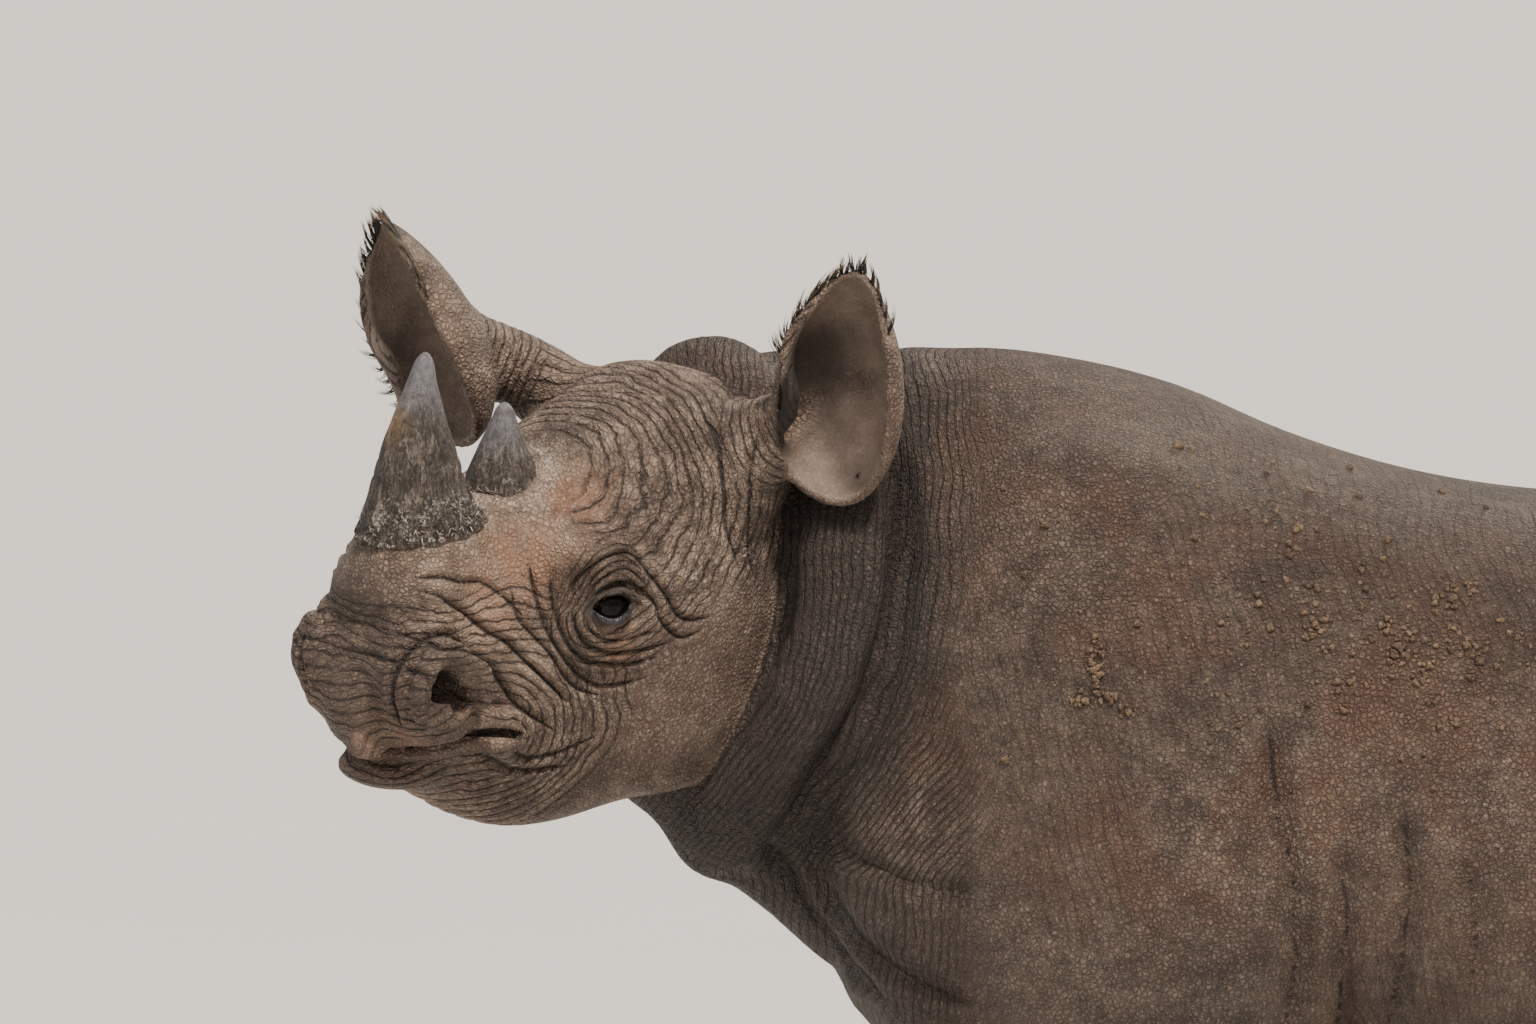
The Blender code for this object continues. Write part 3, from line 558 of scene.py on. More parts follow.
def relaxed(points: Array, faces: Array, share: float = 0.5) -> Array:
    """Each point moved a share of the way to the mean of its neighbours.

    Args:
        points: the mesh's points.
        faces: its triangles.
        share: how far to go to the mean.
    Returns:
        The moved points.
    """
    total, count = np.zeros_like(points), np.zeros(len(points))
    for a, b in ((0, 1), (1, 2), (2, 0)):
        for c, d in ((a, b), (b, a)):
            count += np.bincount(faces[:, c], minlength=len(points))
            for k in range(3):
                total[:, k] += np.bincount(faces[:, c], points[faces[:, d], k], len(points))
    mean = total / np.maximum(count, 1)[:, None]
    return points + share * np.where(count[:, None] > 0, mean - points, 0)


def slope_of(distance: Distance, p: Array, reach: float = 0.0006
             ) -> tuple[Array, Array]:
    """The distance and its gradient, from four points of a tetrahedron round each place.

    Args:
        distance: a signed distance.
        p: points, one to a row.
        reach: the step it is measured over.
    Returns:
        The distances and the slopes.
    """
    corners = np.array([[1, -1, -1], [-1, -1, 1], [-1, 1, -1], [1, 1, 1]], float)
    values = np.stack([distance(p + reach * c) for c in corners])
    return values.mean(axis=0), (values.T @ corners) / (4 * reach)


def onto(distance: Distance, p: Array, most: float = 0.004) -> tuple[Array, Array]:
    """Points moved to the zero surface by one Newton step, and their outward normals.

    Args:
        distance: a signed distance.
        p: points, one to a row.
        most: the longest move.
    Returns:
        The moved points and the normals there.
    """
    value, slope = slope_of(distance, p)
    least = 0.2                 # of the slope's square, so that a kink throws no point far
    square = np.maximum((slope ** 2).sum(axis=1), least)
    move = np.clip(value / square, -most, most)
    return p - move[:, None] * slope, slope / np.sqrt(square)[:, None]


def grid_faces(rows: int, columns: int) -> Array:
    """Quads between rows of points, each row closed on itself.

    Args:
        rows: rows of points.
        columns: points to a row.
    Returns:
        The quads.
    """
    r = np.arange(rows - 1)[:, None]
    c = np.arange(columns)[None, :]
    d = (c + 1) % columns
    return np.stack([r * columns + c, r * columns + d, (r + 1) * columns + d,
                     (r + 1) * columns + c], axis=-1).reshape(-1, 4)


# ------------------------------------------------------------------ the animal's form
class Side(Enum):
    """The animal's sides, by the sign of left in the head's frame."""

    LEFT = 1
    RIGHT = -1


@dataclass(frozen=True)
class Ear:
    """A hollow ear on a stalk, in the head's frame."""

    side: Side
    foot: Triple
    middle: Triple
    length: Triple
    opening: Triple
    half_length: float = 0.120
    half_width: float = 0.064
    depth: float = 0.058
    wall: float = 0.009
    rim_height: float = 0.012       # along the opening, at the middle of the ear's length
    rim_fall: float = 0.020         # how far it falls back towards both ends

    def rows(self) -> Array:
        """Unit rows: sideways, opening and length of the ear.

        Returns:
            Three unit rows.
        """
        length = np.array(self.length) / np.linalg.norm(self.length)
        opening = np.array(self.opening) - (np.array(self.opening) @ length) * length
        opening /= np.linalg.norm(opening)
        return np.array([np.cross(opening, length), opening, length])

    def narrow(self, rise: Array) -> Array:
        """Share of the full width at a height from -1 to 1: wider below, narrow at the tip."""
        return 1 - 0.20 * np.clip(rise, -1, 1) - 0.12 * np.clip(rise, 0, 1) ** 2

    def egg(self, shrink: float, reach: float) -> Solid:
        """Half an egg that ends a reach beyond the curved rim.

        The egg is an ellipsoid whose width and depth shrink with height, cut off by the
        surface opening = rim height - fall rise^2 + reach.

        Args:
            shrink: how much smaller it is all round.
            reach: how far it goes past the rim.
        Returns:
            The solid.
        """
        middle, rows = np.array(self.middle), self.rows()

        def measure(p: Array) -> Array:
            """Signed distance to the half egg.

            Args:
                p: points, one to a row.
            Returns:
                Their signed distances, negative inside.
            """
            q = (p - middle) @ rows.T
            rise = q[:, 2] / self.half_length
            narrow = self.narrow(rise)
            radii = np.stack([self.half_width * narrow, self.depth * narrow,
                              np.full(len(q), self.half_length)], axis=1) - shrink
            near = np.linalg.norm(q / radii, axis=1) + 1e-9
            shell = near * (near - 1) / (np.linalg.norm(q / radii ** 2, axis=1) + 1e-9)
            rim = q[:, 1] - self.rim_height + self.rim_fall * rise ** 2 - reach
            return -smooth_min(-shell, -rim, 0.005)

        extent = np.abs(rows.T) @ (1.2 * np.array([self.half_width, self.depth, self.half_length]))
        return Solid(measure, middle - extent, middle + extent)

    def stalk(self) -> Solid:
        """The round stalk: a tapered tube from inside the head to the back of the bowl.

        Returns:
            The solid.
        """
        rows, foot = self.rows(), np.array(self.foot)
        back = np.array(self.middle) - 0.042 * rows[1] - 0.020 * rows[2]
        points = smooth_path([foot, 0.5 * foot + 0.5 * back - 0.008 * rows[1], back], 4)
        return tube(points, np.linspace(0.042, 0.032, len(points)))

    def clay(self) -> Clay:
        """Stalk and bowl, with the bowl's hollow carved last.

        Returns:
            The blend.
        """
        made = Clay()
        made.add(self.stalk(), 0.025)
        made.add(self.egg(0.0, 0.0), 0.020)
        made.carve(self.egg(self.wall, 0.02), 0.003)
        rows, middle = self.rows(), np.array(self.middle)
        start = middle - 0.027 * rows[1] - 0.006 * rows[2]
        canal = start + np.linspace(0, 0.55, 7)[:, None] * (np.array(self.foot) - start)
        made.carve(tube(canal, np.linspace(0.020, 0.013, 7)), 0.012)
        lip = smooth_path([(0.036, 0.006, 0.078), (0.052, 0.012, 0.040), (0.050, 0.015, 0.012),
                           (0.041, 0.016, -0.012), (0.043, 0.012, -0.034),
                           (0.056, 0.004, -0.058), (0.050, -0.006, -0.082)], 4)
        along = np.linspace(0, 1, len(lip))
        made.add(tube(middle + lip @ rows,
                      np.interp(along, [0, 0.2, 0.5, 0.8, 1], [0.003, 0.005, 0.0085, 0.007, 0.004])),
                 0.007)
        return made

    def rim(self, angle: Array) -> Array:
        """Points of the rim, in the head's frame, at angles from the sideways row.

        A point at a share k of (width cos, rim height, length sin) is on the egg where
        its scaled length is 1; k is found by halving the interval 18 times.

        Args:
            angle: angles in radians, a quarter turn at the tip.
        Returns:
            The points.
        """
        low, high = np.zeros_like(angle), np.full_like(angle, 1.3)
        for _ in range(18):
            k = (low + high) / 2
            rise, narrow = k * np.sin(angle), self.narrow(k * np.sin(angle))
            y = self.rim_height - self.rim_fall * rise ** 2
            x = k * self.half_width * np.cos(angle)
            size = ((x / (self.half_width * narrow)) ** 2 + (y / (self.depth * narrow)) ** 2
                    + rise ** 2)
            low, high = np.where(size < 1, k, low), np.where(size < 1, high, k)
        return np.array(self.middle) + np.stack([x, y - 0.003, rise * self.half_length], 1) @ self.rows()


EARS = (
    Ear(Side.LEFT, foot=(-0.170, 0.098, 0.125), middle=(-0.200, 0.202, 0.203),
        length=(0.0, 0.02, 0.19), opening=(0.92, 0.34, -0.05)),
    Ear(Side.RIGHT, foot=(-0.150, -0.098, 0.130), middle=(-0.018, -0.189, 0.204),
        length=(0.12, -0.45, 0.86), opening=(0.98, -0.185, -0.10)),
)


@dataclass(frozen=True)
class EyePlace:
    """An eyeball's place and gaze in the head's frame, and its lids' opening."""

    side: Side
    spread: float = 0.107
    radius: float = 0.0185
    gaze_turn: float = 27.0     # degrees forward of straight sideways
    half_length: float = 0.0188
    half_height: float = 0.0116
    above: float = 1.15             # the upper lid's share of the half height
    below: float = 0.85             # the lower lid's

    def centre(self) -> Array:
        """The ball's centre."""
        return np.array((0.0, self.side.value * self.spread, 0.0))

    def rows(self) -> Array:
        """Unit rows: along the opening to the front, gaze, and up the lids.

        Returns:
            Three unit rows.
        """
        a = math.radians(self.gaze_turn)
        s = self.side.value
        gaze = np.array((math.sin(a), s * math.cos(a), 0.03))
        gaze /= np.linalg.norm(gaze)
        along = np.array((math.cos(a), -s * math.sin(a), -0.10))
        along -= (along @ gaze) * gaze
        along /= np.linalg.norm(along)
        return np.array([along, gaze, np.cross(along, gaze) * s])

    def local(self, q: Array) -> Array:
        """Head points as (along, gaze, up) from the ball's centre."""
        return (q - self.centre()) @ self.rows().T

    def almond(self) -> Solid:
        """The opening: where two tall discs cross, outward of the ball's middle.

        Returns:
            The solid, to carve.
        """
        reach = (self.half_length ** 2 + self.half_height ** 2) / (2 * self.half_height)

        def measure(p: Array) -> Array:
            """Signed distance to the almond's walls.

            Args:
                p: points, one to a row.
            Returns:
                Their signed distances, negative inside.
            """
            q = self.local(p)
            upper = np.hypot(q[:, 0], q[:, 2] + reach - self.above * self.half_height) - reach
            lower = np.hypot(q[:, 0], q[:, 2] - reach + self.below * self.half_height) - reach
            return np.maximum(np.maximum(upper, lower), 0.004 - q[:, 1])

        return Solid(measure, self.centre() - 0.05, self.centre() + 0.05)


EYES = (EyePlace(Side.LEFT), EyePlace(Side.RIGHT))


def settled(clay: Clay, path: Array, lift: float = 0.0) -> Array:
    """A path's points moved onto a blend's surface, then outwards by a lift.

    Args:
        clay: the blend.
        path: the points.
        lift: how far out they end.
    Returns:
        The moved points.
    """
    steps, longest = 5, 0.012
    for _ in range(steps):
        path, normals = onto(clay.distance, path, longest)
    return path + lift * normals


@dataclass(frozen=True)
class Flesh:
    """The whole animal's form without horns, eyes and nails."""

    fore_spread: float = 0.172
    hind_spread: float = 0.168
    fore_reach: Pair = (0.0, -0.075)      # left, right
    hind_reach: Pair = (0.035, -0.040)
    reach_top: float = 0.60
    upper_lid: tuple[Pair, ...] = (
        (-0.0215, -0.001), (-0.012, 0.0125), (0.0, 0.0155), (0.012, 0.0120), (0.0215, 0.001))
    lower_lid: tuple[Pair, ...] = (
        (-0.0200, -0.005), (-0.011, -0.0122), (0.0, -0.0143), (0.011, -0.0122), (0.0205, -0.004))

    def trunk(self, clay: Clay) -> None:
        """Chest, barrel and rump, with the muscles of shoulder and thigh.

        Args:
            clay: the blend to add to.
        """
        clay.add(loft([
            (-0.51, 0, 0.12, 0.610, 0.82, 1.05), (-0.44, 0, 0.18, 0.530, 0.80, 1.170),
            (-0.36, 0, 0.215, 0.480, 0.80, 1.193), (-0.25, 0, 0.250, 0.455, 0.79, 1.184),
            (-0.15, 0, 0.268, 0.445, 0.78, 1.158), (-0.05, 0, 0.285, 0.432, 0.765, 1.115),
            (0.06, 0, 0.303, 0.420, 0.745, 1.080), (0.19, 0, 0.318, 0.412, 0.725, 1.058),
            (0.33, 0, 0.322, 0.415, 0.720, 1.056), (0.46, 0, 0.308, 0.435, 0.735, 1.082),
            (0.58, 0, 0.278, 0.475, 0.765, 1.120), (0.69, 0, 0.242, 0.535, 0.790, 1.137),
            (0.80, 0, 0.203, 0.600, 0.800, 1.108), (0.88, 0, 0.165, 0.650, 0.800, 1.040),
            (0.93, 0, 0.125, 0.690, 0.800, 0.960)], 2.25, front=0.05, back=0.07), 0.03)
        muscles = (
            ((-0.21, 0.185, 0.86), (0.15, 0.085, 0.25), -14, 0.09),
            ((-0.145, 0.205, 0.655), (0.115, 0.085, 0.150), 20, 0.07),
            ((-0.33, 0.130, 0.640), (0.115, 0.085, 0.155), -28, 0.08),
            ((0.68, 0.175, 0.79), (0.195, 0.105, 0.255), 12, 0.08),
            ((0.56, 0.190, 0.60), (0.115, 0.080, 0.165), -30, 0.08),
            ((0.80, 0.105, 0.78), (0.125, 0.095, 0.185), 0, 0.06),
            ((0.60, 0.200, 0.985), (0.110, 0.060, 0.070), 18, 0.10),
            ((0.475, 0.195, 0.520), (0.105, 0.055, 0.100), -35, 0.07),
        )
        for side in (-1, 1):
            for (x, y, z), radii, turn, width in muscles:
                clay.add(ellipsoid((x, side * y, z), radii, (0, turn, 0)), width)

    def legs(self, clay: Clay) -> None:
        """Forearm, wrist and foot in front; shank, hock and foot behind.

        Args:
            clay: the blend to add to.
        """
        fore = [(0.000, -0.225, 0.096, 0.087), (0.040, -0.222, 0.099, 0.090),
                (0.085, -0.214, 0.087, 0.080), (0.140, -0.206, 0.077, 0.071),
                (0.200, -0.202, 0.075, 0.070), (0.265, -0.203, 0.082, 0.077),
                (0.320, -0.200, 0.085, 0.079), (0.400, -0.194, 0.100, 0.084),
                (0.480, -0.192, 0.125, 0.090), (0.560, -0.195, 0.148, 0.092),
                (0.640, -0.205, 0.155, 0.082)]
        hind = [(0.000, 0.655, 0.093, 0.084), (0.040, 0.658, 0.096, 0.087),
                (0.085, 0.667, 0.084, 0.076), (0.140, 0.682, 0.072, 0.066),
                (0.200, 0.698, 0.072, 0.065), (0.265, 0.716, 0.080, 0.069),
                (0.330, 0.720, 0.086, 0.072), (0.400, 0.702, 0.098, 0.078),
                (0.480, 0.672, 0.130, 0.088), (0.560, 0.650, 0.160, 0.095),
                (0.660, 0.650, 0.170, 0.092)]
        for stations, spread, reaches in ((fore, self.fore_spread, self.fore_reach),
                                          (hind, self.hind_spread, self.hind_reach)):
            for side, reach in zip((-1, 1), reaches):
                rows = [(z, x, side * spread, depth, width) for z, x, depth, width in stations]
                clay.add(leg_column(rows, reach, self.reach_top), 0.05)

    def tail(self, clay: Clay) -> None:
        """A thin hanging tail close behind the rump.

        Args:
            clay: the blend to add to.
        """
        path = smooth_path([(0.86, 0, 1.030), (0.925, 0, 0.990), (0.962, -0.004, 0.91),
                            (0.972, -0.010, 0.80), (0.966, -0.016, 0.68),
                            (0.962, -0.018, 0.56)], 4)
        radii = np.interp(np.linspace(0, 1, len(path)), [0, 0.2, 0.5, 0.85, 1],
                          [0.042, 0.032, 0.021, 0.015, 0.014])
        clay.add(tube(path, radii), 0.03)

    def neck(self) -> Clay:
        """A short deep neck that bends to the left, with its rolls of skin.

        Returns:
            The blend.
        """
        clay = Clay()
        clay.add(loft([
            (-0.74, -0.035, 0.065, 0.80, 0.95, 1.08), (-0.67, -0.045, 0.095, 0.752, 0.95, 1.140),
            (-0.61, -0.030, 0.115, 0.702, 0.94, 1.165), (-0.55, -0.008, 0.125, 0.650, 0.92, 1.180),
            (-0.49, 0.0, 0.150, 0.598, 0.89, 1.190), (-0.43, 0.0, 0.175, 0.565, 0.86, 1.194),
            (-0.34, 0.0, 0.18, 0.55, 0.84, 1.184)], 2.1, front=0.04), 0.05)
        along = np.linspace(0, 1, len(self.roll()))
        clay.add(tube(self.roll(), np.interp(along, [0, 0.3, 0.6, 0.85, 1],
                                             [0.034, 0.052, 0.056, 0.044, 0.034])), 0.040)
        far = self.roll() * (1, -0.86, 1) + (0.02, -0.02, 0)
        clay.add(tube(far, np.interp(along, [0, 0.3, 0.6, 0.85, 1],
                                     [0.030, 0.040, 0.042, 0.036, 0.028])), 0.060)
        nape = smooth_path([(-0.545, -0.150, 1.080), (-0.572, -0.095, 1.148),
                            (-0.600, -0.030, 1.163), (-0.640, 0.025, 1.140),
                            (-0.672, 0.050, 1.070), (-0.690, 0.050, 0.99)])
        across = np.linspace(0, 1, len(nape))
        for path, radii, width in (
                (nape, [0.020, 0.044, 0.047, 0.030, 0.014], 0.016),
                (nape + (0.064, 0.014, -0.004), [0.016, 0.032, 0.034, 0.024, 0.012], 0.020)):
            clay.add(tube(path, np.interp(across, [0, 0.2, 0.5, 0.8, 1], radii)), width)
        return clay

    def roll(self) -> Array:
        """The middle line of the deep roll between neck and shoulder, left side.

        Returns:
            The points of its middle line.
        """
        return smooth_path([(-0.472, -0.010, 1.125), (-0.470, -0.080, 1.090),
                            (-0.466, -0.148, 1.01), (-0.472, -0.176, 0.93),
                            (-0.500, -0.168, 0.86), (-0.538, -0.140, 0.795),
                            (-0.575, -0.095, 0.745), (-0.600, -0.055, 0.725)])

    def skull(self) -> Clay:
        """Skull, jaw and muzzle in the head's frame, without eyelids and nostril rims.

        Returns:
            The blend.
        """
        clay = Clay()
        clay.add(loft([
            (-0.285, 0, 0.085, -0.06, 0.03, 0.090), (-0.235, 0, 0.108, -0.135, 0.02, 0.150),
            (-0.185, 0, 0.118, -0.187, 0.02, 0.176), (-0.130, 0, 0.120, -0.214, 0.02, 0.181),
            (-0.070, 0, 0.115, -0.230, 0.03, 0.168), (-0.015, 0, 0.106, -0.236, 0.03, 0.140),
            (0.040, 0, 0.092, -0.232, 0.00, 0.106), (0.090, 0, 0.080, -0.216, -0.03, 0.088),
            (0.140, 0, 0.074, -0.190, -0.05, 0.086), (0.185, 0, 0.073, -0.166, -0.06, 0.068),
            (0.223, 0, 0.066, -0.140, -0.07, 0.004)], 2.40, front=0.05, back=0.050), 0.03)
        for centre, radii, width in (
                ((0.150, 0, 0.056), (0.060, 0.056, 0.045), 0.03),
                ((0.047, 0, 0.072), (0.050, 0.044, 0.032), 0.03),
                ((-0.165, 0, 0.142), (0.060, 0.105, 0.044), 0.04),
                ((0.183, 0, 0.016), (0.046, 0.068, 0.038), 0.03),
                ((0.188, 0, -0.054), (0.047, 0.062, 0.050), 0.03)):
            clay.add(ellipsoid(centre, radii), width)
        for side in (-1, 1):
            for (f, l, u), radii, width in (
                    ((0.005, 0.086, 0.052), (0.050, 0.032, 0.030), 0.03),
                    ((-0.085, 0.088, 0.000), (0.110, 0.042, 0.062), 0.05),
                    ((-0.125, 0.078, -0.095), (0.100, 0.046, 0.105), 0.05),
                    ((-0.168, 0.102, 0.100), (0.052, 0.040, 0.055), 0.03),
                    ((0.178, 0.058, -0.062), (0.054, 0.034, 0.046), 0.02),
                    ((0.198, 0.053, -0.045), (0.036, 0.029, 0.038), 0.03),
                    ((0.092, 0.066, -0.122), (0.028, 0.020, 0.022), 0.02)):
                clay.add(ellipsoid((f, side * l, u), radii), width)
        for centre, radii, width in (
                ((0.205, 0, -0.098), (0.034, 0.056, 0.038), 0.02),
                ((0.220, 0.018, -0.1240), (0.019, 0.020, 0.0150), 0.006),
                ((0.172, 0, -0.156), (0.052, 0.052, 0.020), 0.012)):
            clay.add(ellipsoid(centre, radii), width)
        return clay

    def nostrils(self, clay: Clay) -> None:
        """A thick rim, open to the back, round a comma-shaped hole with a slit behind.

        Args:
            clay: the blend to add to.
        """
        for side in (-1, 1):
            flip = np.array((1, side, 1))
            clay.add(ellipsoid((0.180, side * 0.060, -0.094), (0.044, 0.030, 0.024)), 0.012)
            rim = smooth_path(np.array([
                (0.214, 0.078, -0.088), (0.220, 0.080, -0.064), (0.214, 0.083, -0.040),
                (0.200, 0.088, -0.027), (0.184, 0.091, -0.029), (0.165, 0.091, -0.044),
                (0.148, 0.088, -0.062), (0.140, 0.083, -0.080)]) * flip, 4)
            proud = 1.0 if side > 0 else 0.0
            rim = settled(clay, rim, 0.0050 * proud - 0.0020 * (1 - proud))
            along = np.linspace(0, 1, len(rim))
            mouths = settled(clay, np.array([(0.197, 0.09, -0.057), (0.172, 0.09, -0.074)]) * flip)
            clay.add(tube(rim, np.interp(along, [0, 0.2, 0.5, 0.8, 1],
                                         [0.006, 0.011, 0.0125, 0.011, 0.006])
                          * (0.80 + 0.20 * proud)), 0.004)
            inner = np.array((0.182, side * 0.052, -0.064))
            for mouth, wide in zip(mouths, (0.0200, 0.0150)):
                run = mouth + np.linspace(-0.35, 1, 6)[:, None] * (inner - mouth)
                clay.carve(tube(run, np.linspace(wide, 0.012, 6)), 0.003)

    def mouth(self, clay: Clay) -> None:
        """The closed mouth's line, from corner to corner under the lip's hooked tip.

        Args:
            clay: the blend to add to.
        """
        line = [(0.086, 0.084, -0.124), (0.106, 0.083, -0.117), (0.124, 0.082, -0.115),
                (0.155, 0.080, -0.119), (0.188, 0.070, -0.122), (0.212, 0.046, -0.130),
                (0.228, 0.018, -0.137), (0.231, 0.0, -0.139)]
        line += [(f, -l, u) for f, l, u in line[-2::-1]]
        path = smooth_path(line, 4)
        for side in (-1, 1):
            for puff, thick in ((((0.122, 0.077, -0.101), (0.106, 0.082, -0.100),
                                  (0.088, 0.084, -0.108)), 0.0075),
                                (((0.120, 0.078, -0.129), (0.100, 0.082, -0.131),
                                  (0.080, 0.083, -0.124)), 0.0065)):
                clay.add(tube(smooth_path(np.array(puff) * (1, side, 1), 4),
                              np.interp(np.arange(9), [0, 4, 8], [0.5, 1, 0.5]) * thick), 0.006)
        path = settled(clay, path, -0.0015)
        to_corner = np.abs(np.linspace(-1, 1, len(path)))
        clay.carve(tube(path, np.interp(to_corner, [0, 0.6, 1], [0.0050, 0.0042, 0.0018])), 0.003)

    def lids(self, clay: Clay) -> None:
        """A low dome over each eyeball with an almond opening, in a shallow socket.

        Args:
            clay: the blend to add to.
        """
        outer, widest = 0.0228, 0.0225      # the lids' radius, and where an arc leaves the ball
        for eye in EYES:
            s = eye.side.value
            clay.carve(ellipsoid((0.004, s * 0.131, 0.0), (0.030, 0.026, 0.020)), 0.02)
            clay.add(ellipsoid(eye.centre(), (eye.radius + 0.0036,) * 3), 0.006)
            for arc, thick in ((self.upper_lid, 0.0040), (self.lower_lid, 0.0030)):
                line = smooth_path([(x, math.sqrt(outer ** 2 - x * x - z * z), z)
                                    if x * x + z * z < widest ** 2 else (x, 0.006, z)
                                    for x, z in arc], 4)
                taper = np.sin(np.linspace(0.25, np.pi - 0.25, len(line)))
                clay.add(tube(eye.centre() + line @ eye.rows(), thick * (0.45 + 0.55 * taper)), 0.004)
            clay.carve(eye.almond(), 0.0020)

    def head(self) -> Clay:
        """The whole head with its ears, in its own frame.

        Returns:
            The blend.
        """
        clay = self.skull()
        for ear in EARS:
            clay.add(ear.clay().solid(), 0.015)
        self.nostrils(clay)
        self.mouth(clay)
        self.lids(clay)
        return clay

    def body(self) -> Clay:
        """Trunk, legs, tail and neck.

        Returns:
            The blend.
        """
        clay = Clay()
        self.trunk(clay)
        self.legs(clay)
        self.tail(clay)
        clay.add(self.neck().solid(), 0.018)
        return clay

    def whole(self) -> Clay:
        """The whole animal in the body's frame, its middle plane at Y = 0.

        Returns:
            The blend.
        """
        clay = self.body()
        clay.add(HEAD.carry(self.head().solid()), 0.012)
        clay.carve(Solid(lambda p: p[:, 2], np.array((-2, -2, -1.0)), np.array((2, 2, 0.0))), 0.006)
        return clay


# ------------------------------------------------------------------ objects and nodes
def put_mesh(name: str, points: Array, faces: Array | Sequence[Array], dress: bpy.types.Material,
             vectors: dict[str, Array] | None = None, uv: Array | None = None) -> bpy.types.Object:
    """A smooth mesh piece in the row frame that rides on the body.

    Args:
        name: the piece's name.
        points: its points in the body's frame.
        faces: one array of faces, or several of different corner counts.
        dress: its material.
        vectors: vector attributes by name, one row per point.
        uv: places per point, for a map named OFBake.
    Returns:
        The object.
    """
    parts = [faces] if isinstance(faces, np.ndarray) else list(faces)
    corners = np.concatenate([f.ravel() for f in parts]).astype(np.int32)
    sizes = np.concatenate([np.full(len(f), f.shape[1]) for f in parts])
    mesh = bpy.data.meshes.new(name)
    mesh.vertices.add(len(points))
    mesh.vertices.foreach_set("co", (points + MID_PLANE).astype(np.float32).ravel())
    mesh.loops.add(len(corners))
    mesh.loops.foreach_set("vertex_index", corners)
    mesh.polygons.add(len(sizes))
    mesh.polygons.foreach_set("loop_start", np.r_[0, np.cumsum(sizes)[:-1]].astype(np.int32))
    mesh.update(calc_edges=True)
    for word, values in (vectors or {}).items():
        layer = mesh.attributes.new(word, "FLOAT_VECTOR", "POINT")
        layer.data.foreach_set("vector", np.asarray(values, np.float32).ravel())
    if uv is not None:
        layer = mesh.uv_layers.new(name="OFBake")
        layer.data.foreach_set("uv", uv[corners].astype(np.float32).ravel())
    mesh.shade_smooth()
    mesh.validate()
    thing = bpy.data.objects.new(name, mesh)
    bpy.context.scene.collection.objects.link(thing)
    mesh.materials.append(dress)
    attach(thing, BODY)
    LOG.info("%s: %d points, %d faces", name, len(points), len(sizes))
    return thing


def linear(code: str) -> tuple[float, float, float, float]:
    """A colour given as sRGB hex in linear light, with alpha 1."""
    parts = (int(code[k:k + 2], 16) / 255 for k in (1, 3, 5))
    return (*(c / 12.92 if c <= 0.04045 else ((c + 0.055) / 1.055) ** 2.4 for c in parts), 1.0)


class Node(Enum):
    """The kinds of shader node in use: Blender's type, and the settings they always have."""

    PLACE = ("TexCoord", {})
    MARK = ("Attribute", {})
    SPLIT = ("SeparateXYZ", {})
    JOIN = ("CombineXYZ", {})
    TIMES = ("Math", {"operation": "MULTIPLY"})
    PLUS = ("Math", {"operation": "ADD"})
    MINUS = ("Math", {"operation": "SUBTRACT"})
    TIMES_PLUS = ("Math", {"operation": "MULTIPLY_ADD"})
    MOST = ("Math", {"operation": "MAXIMUM"})
    ABOVE = ("Math", {"operation": "GREATER_THAN"})
    FOLDED = ("Math", {"operation": "PINGPONG"})
    SINE = ("Math", {"operation": "SINE"})
    COSINE = ("Math", {"operation": "COSINE"})
    SHIFT = ("VectorMath", {"operation": "ADD"})
    SCALE = ("VectorMath", {"operation": "MULTIPLY"})
    BAND = ("MapRange", {"interpolation_type": "SMOOTHSTEP"})
    MIX = ("Mix", {"data_type": "RGBA"})
    NOISE = ("TexNoise", {})
    CELLS = ("TexVoronoi", {"feature": "F1"})
    CRACKS = ("TexVoronoi", {"feature": "DISTANCE_TO_EDGE"})
    BUMP = ("Bump", {})


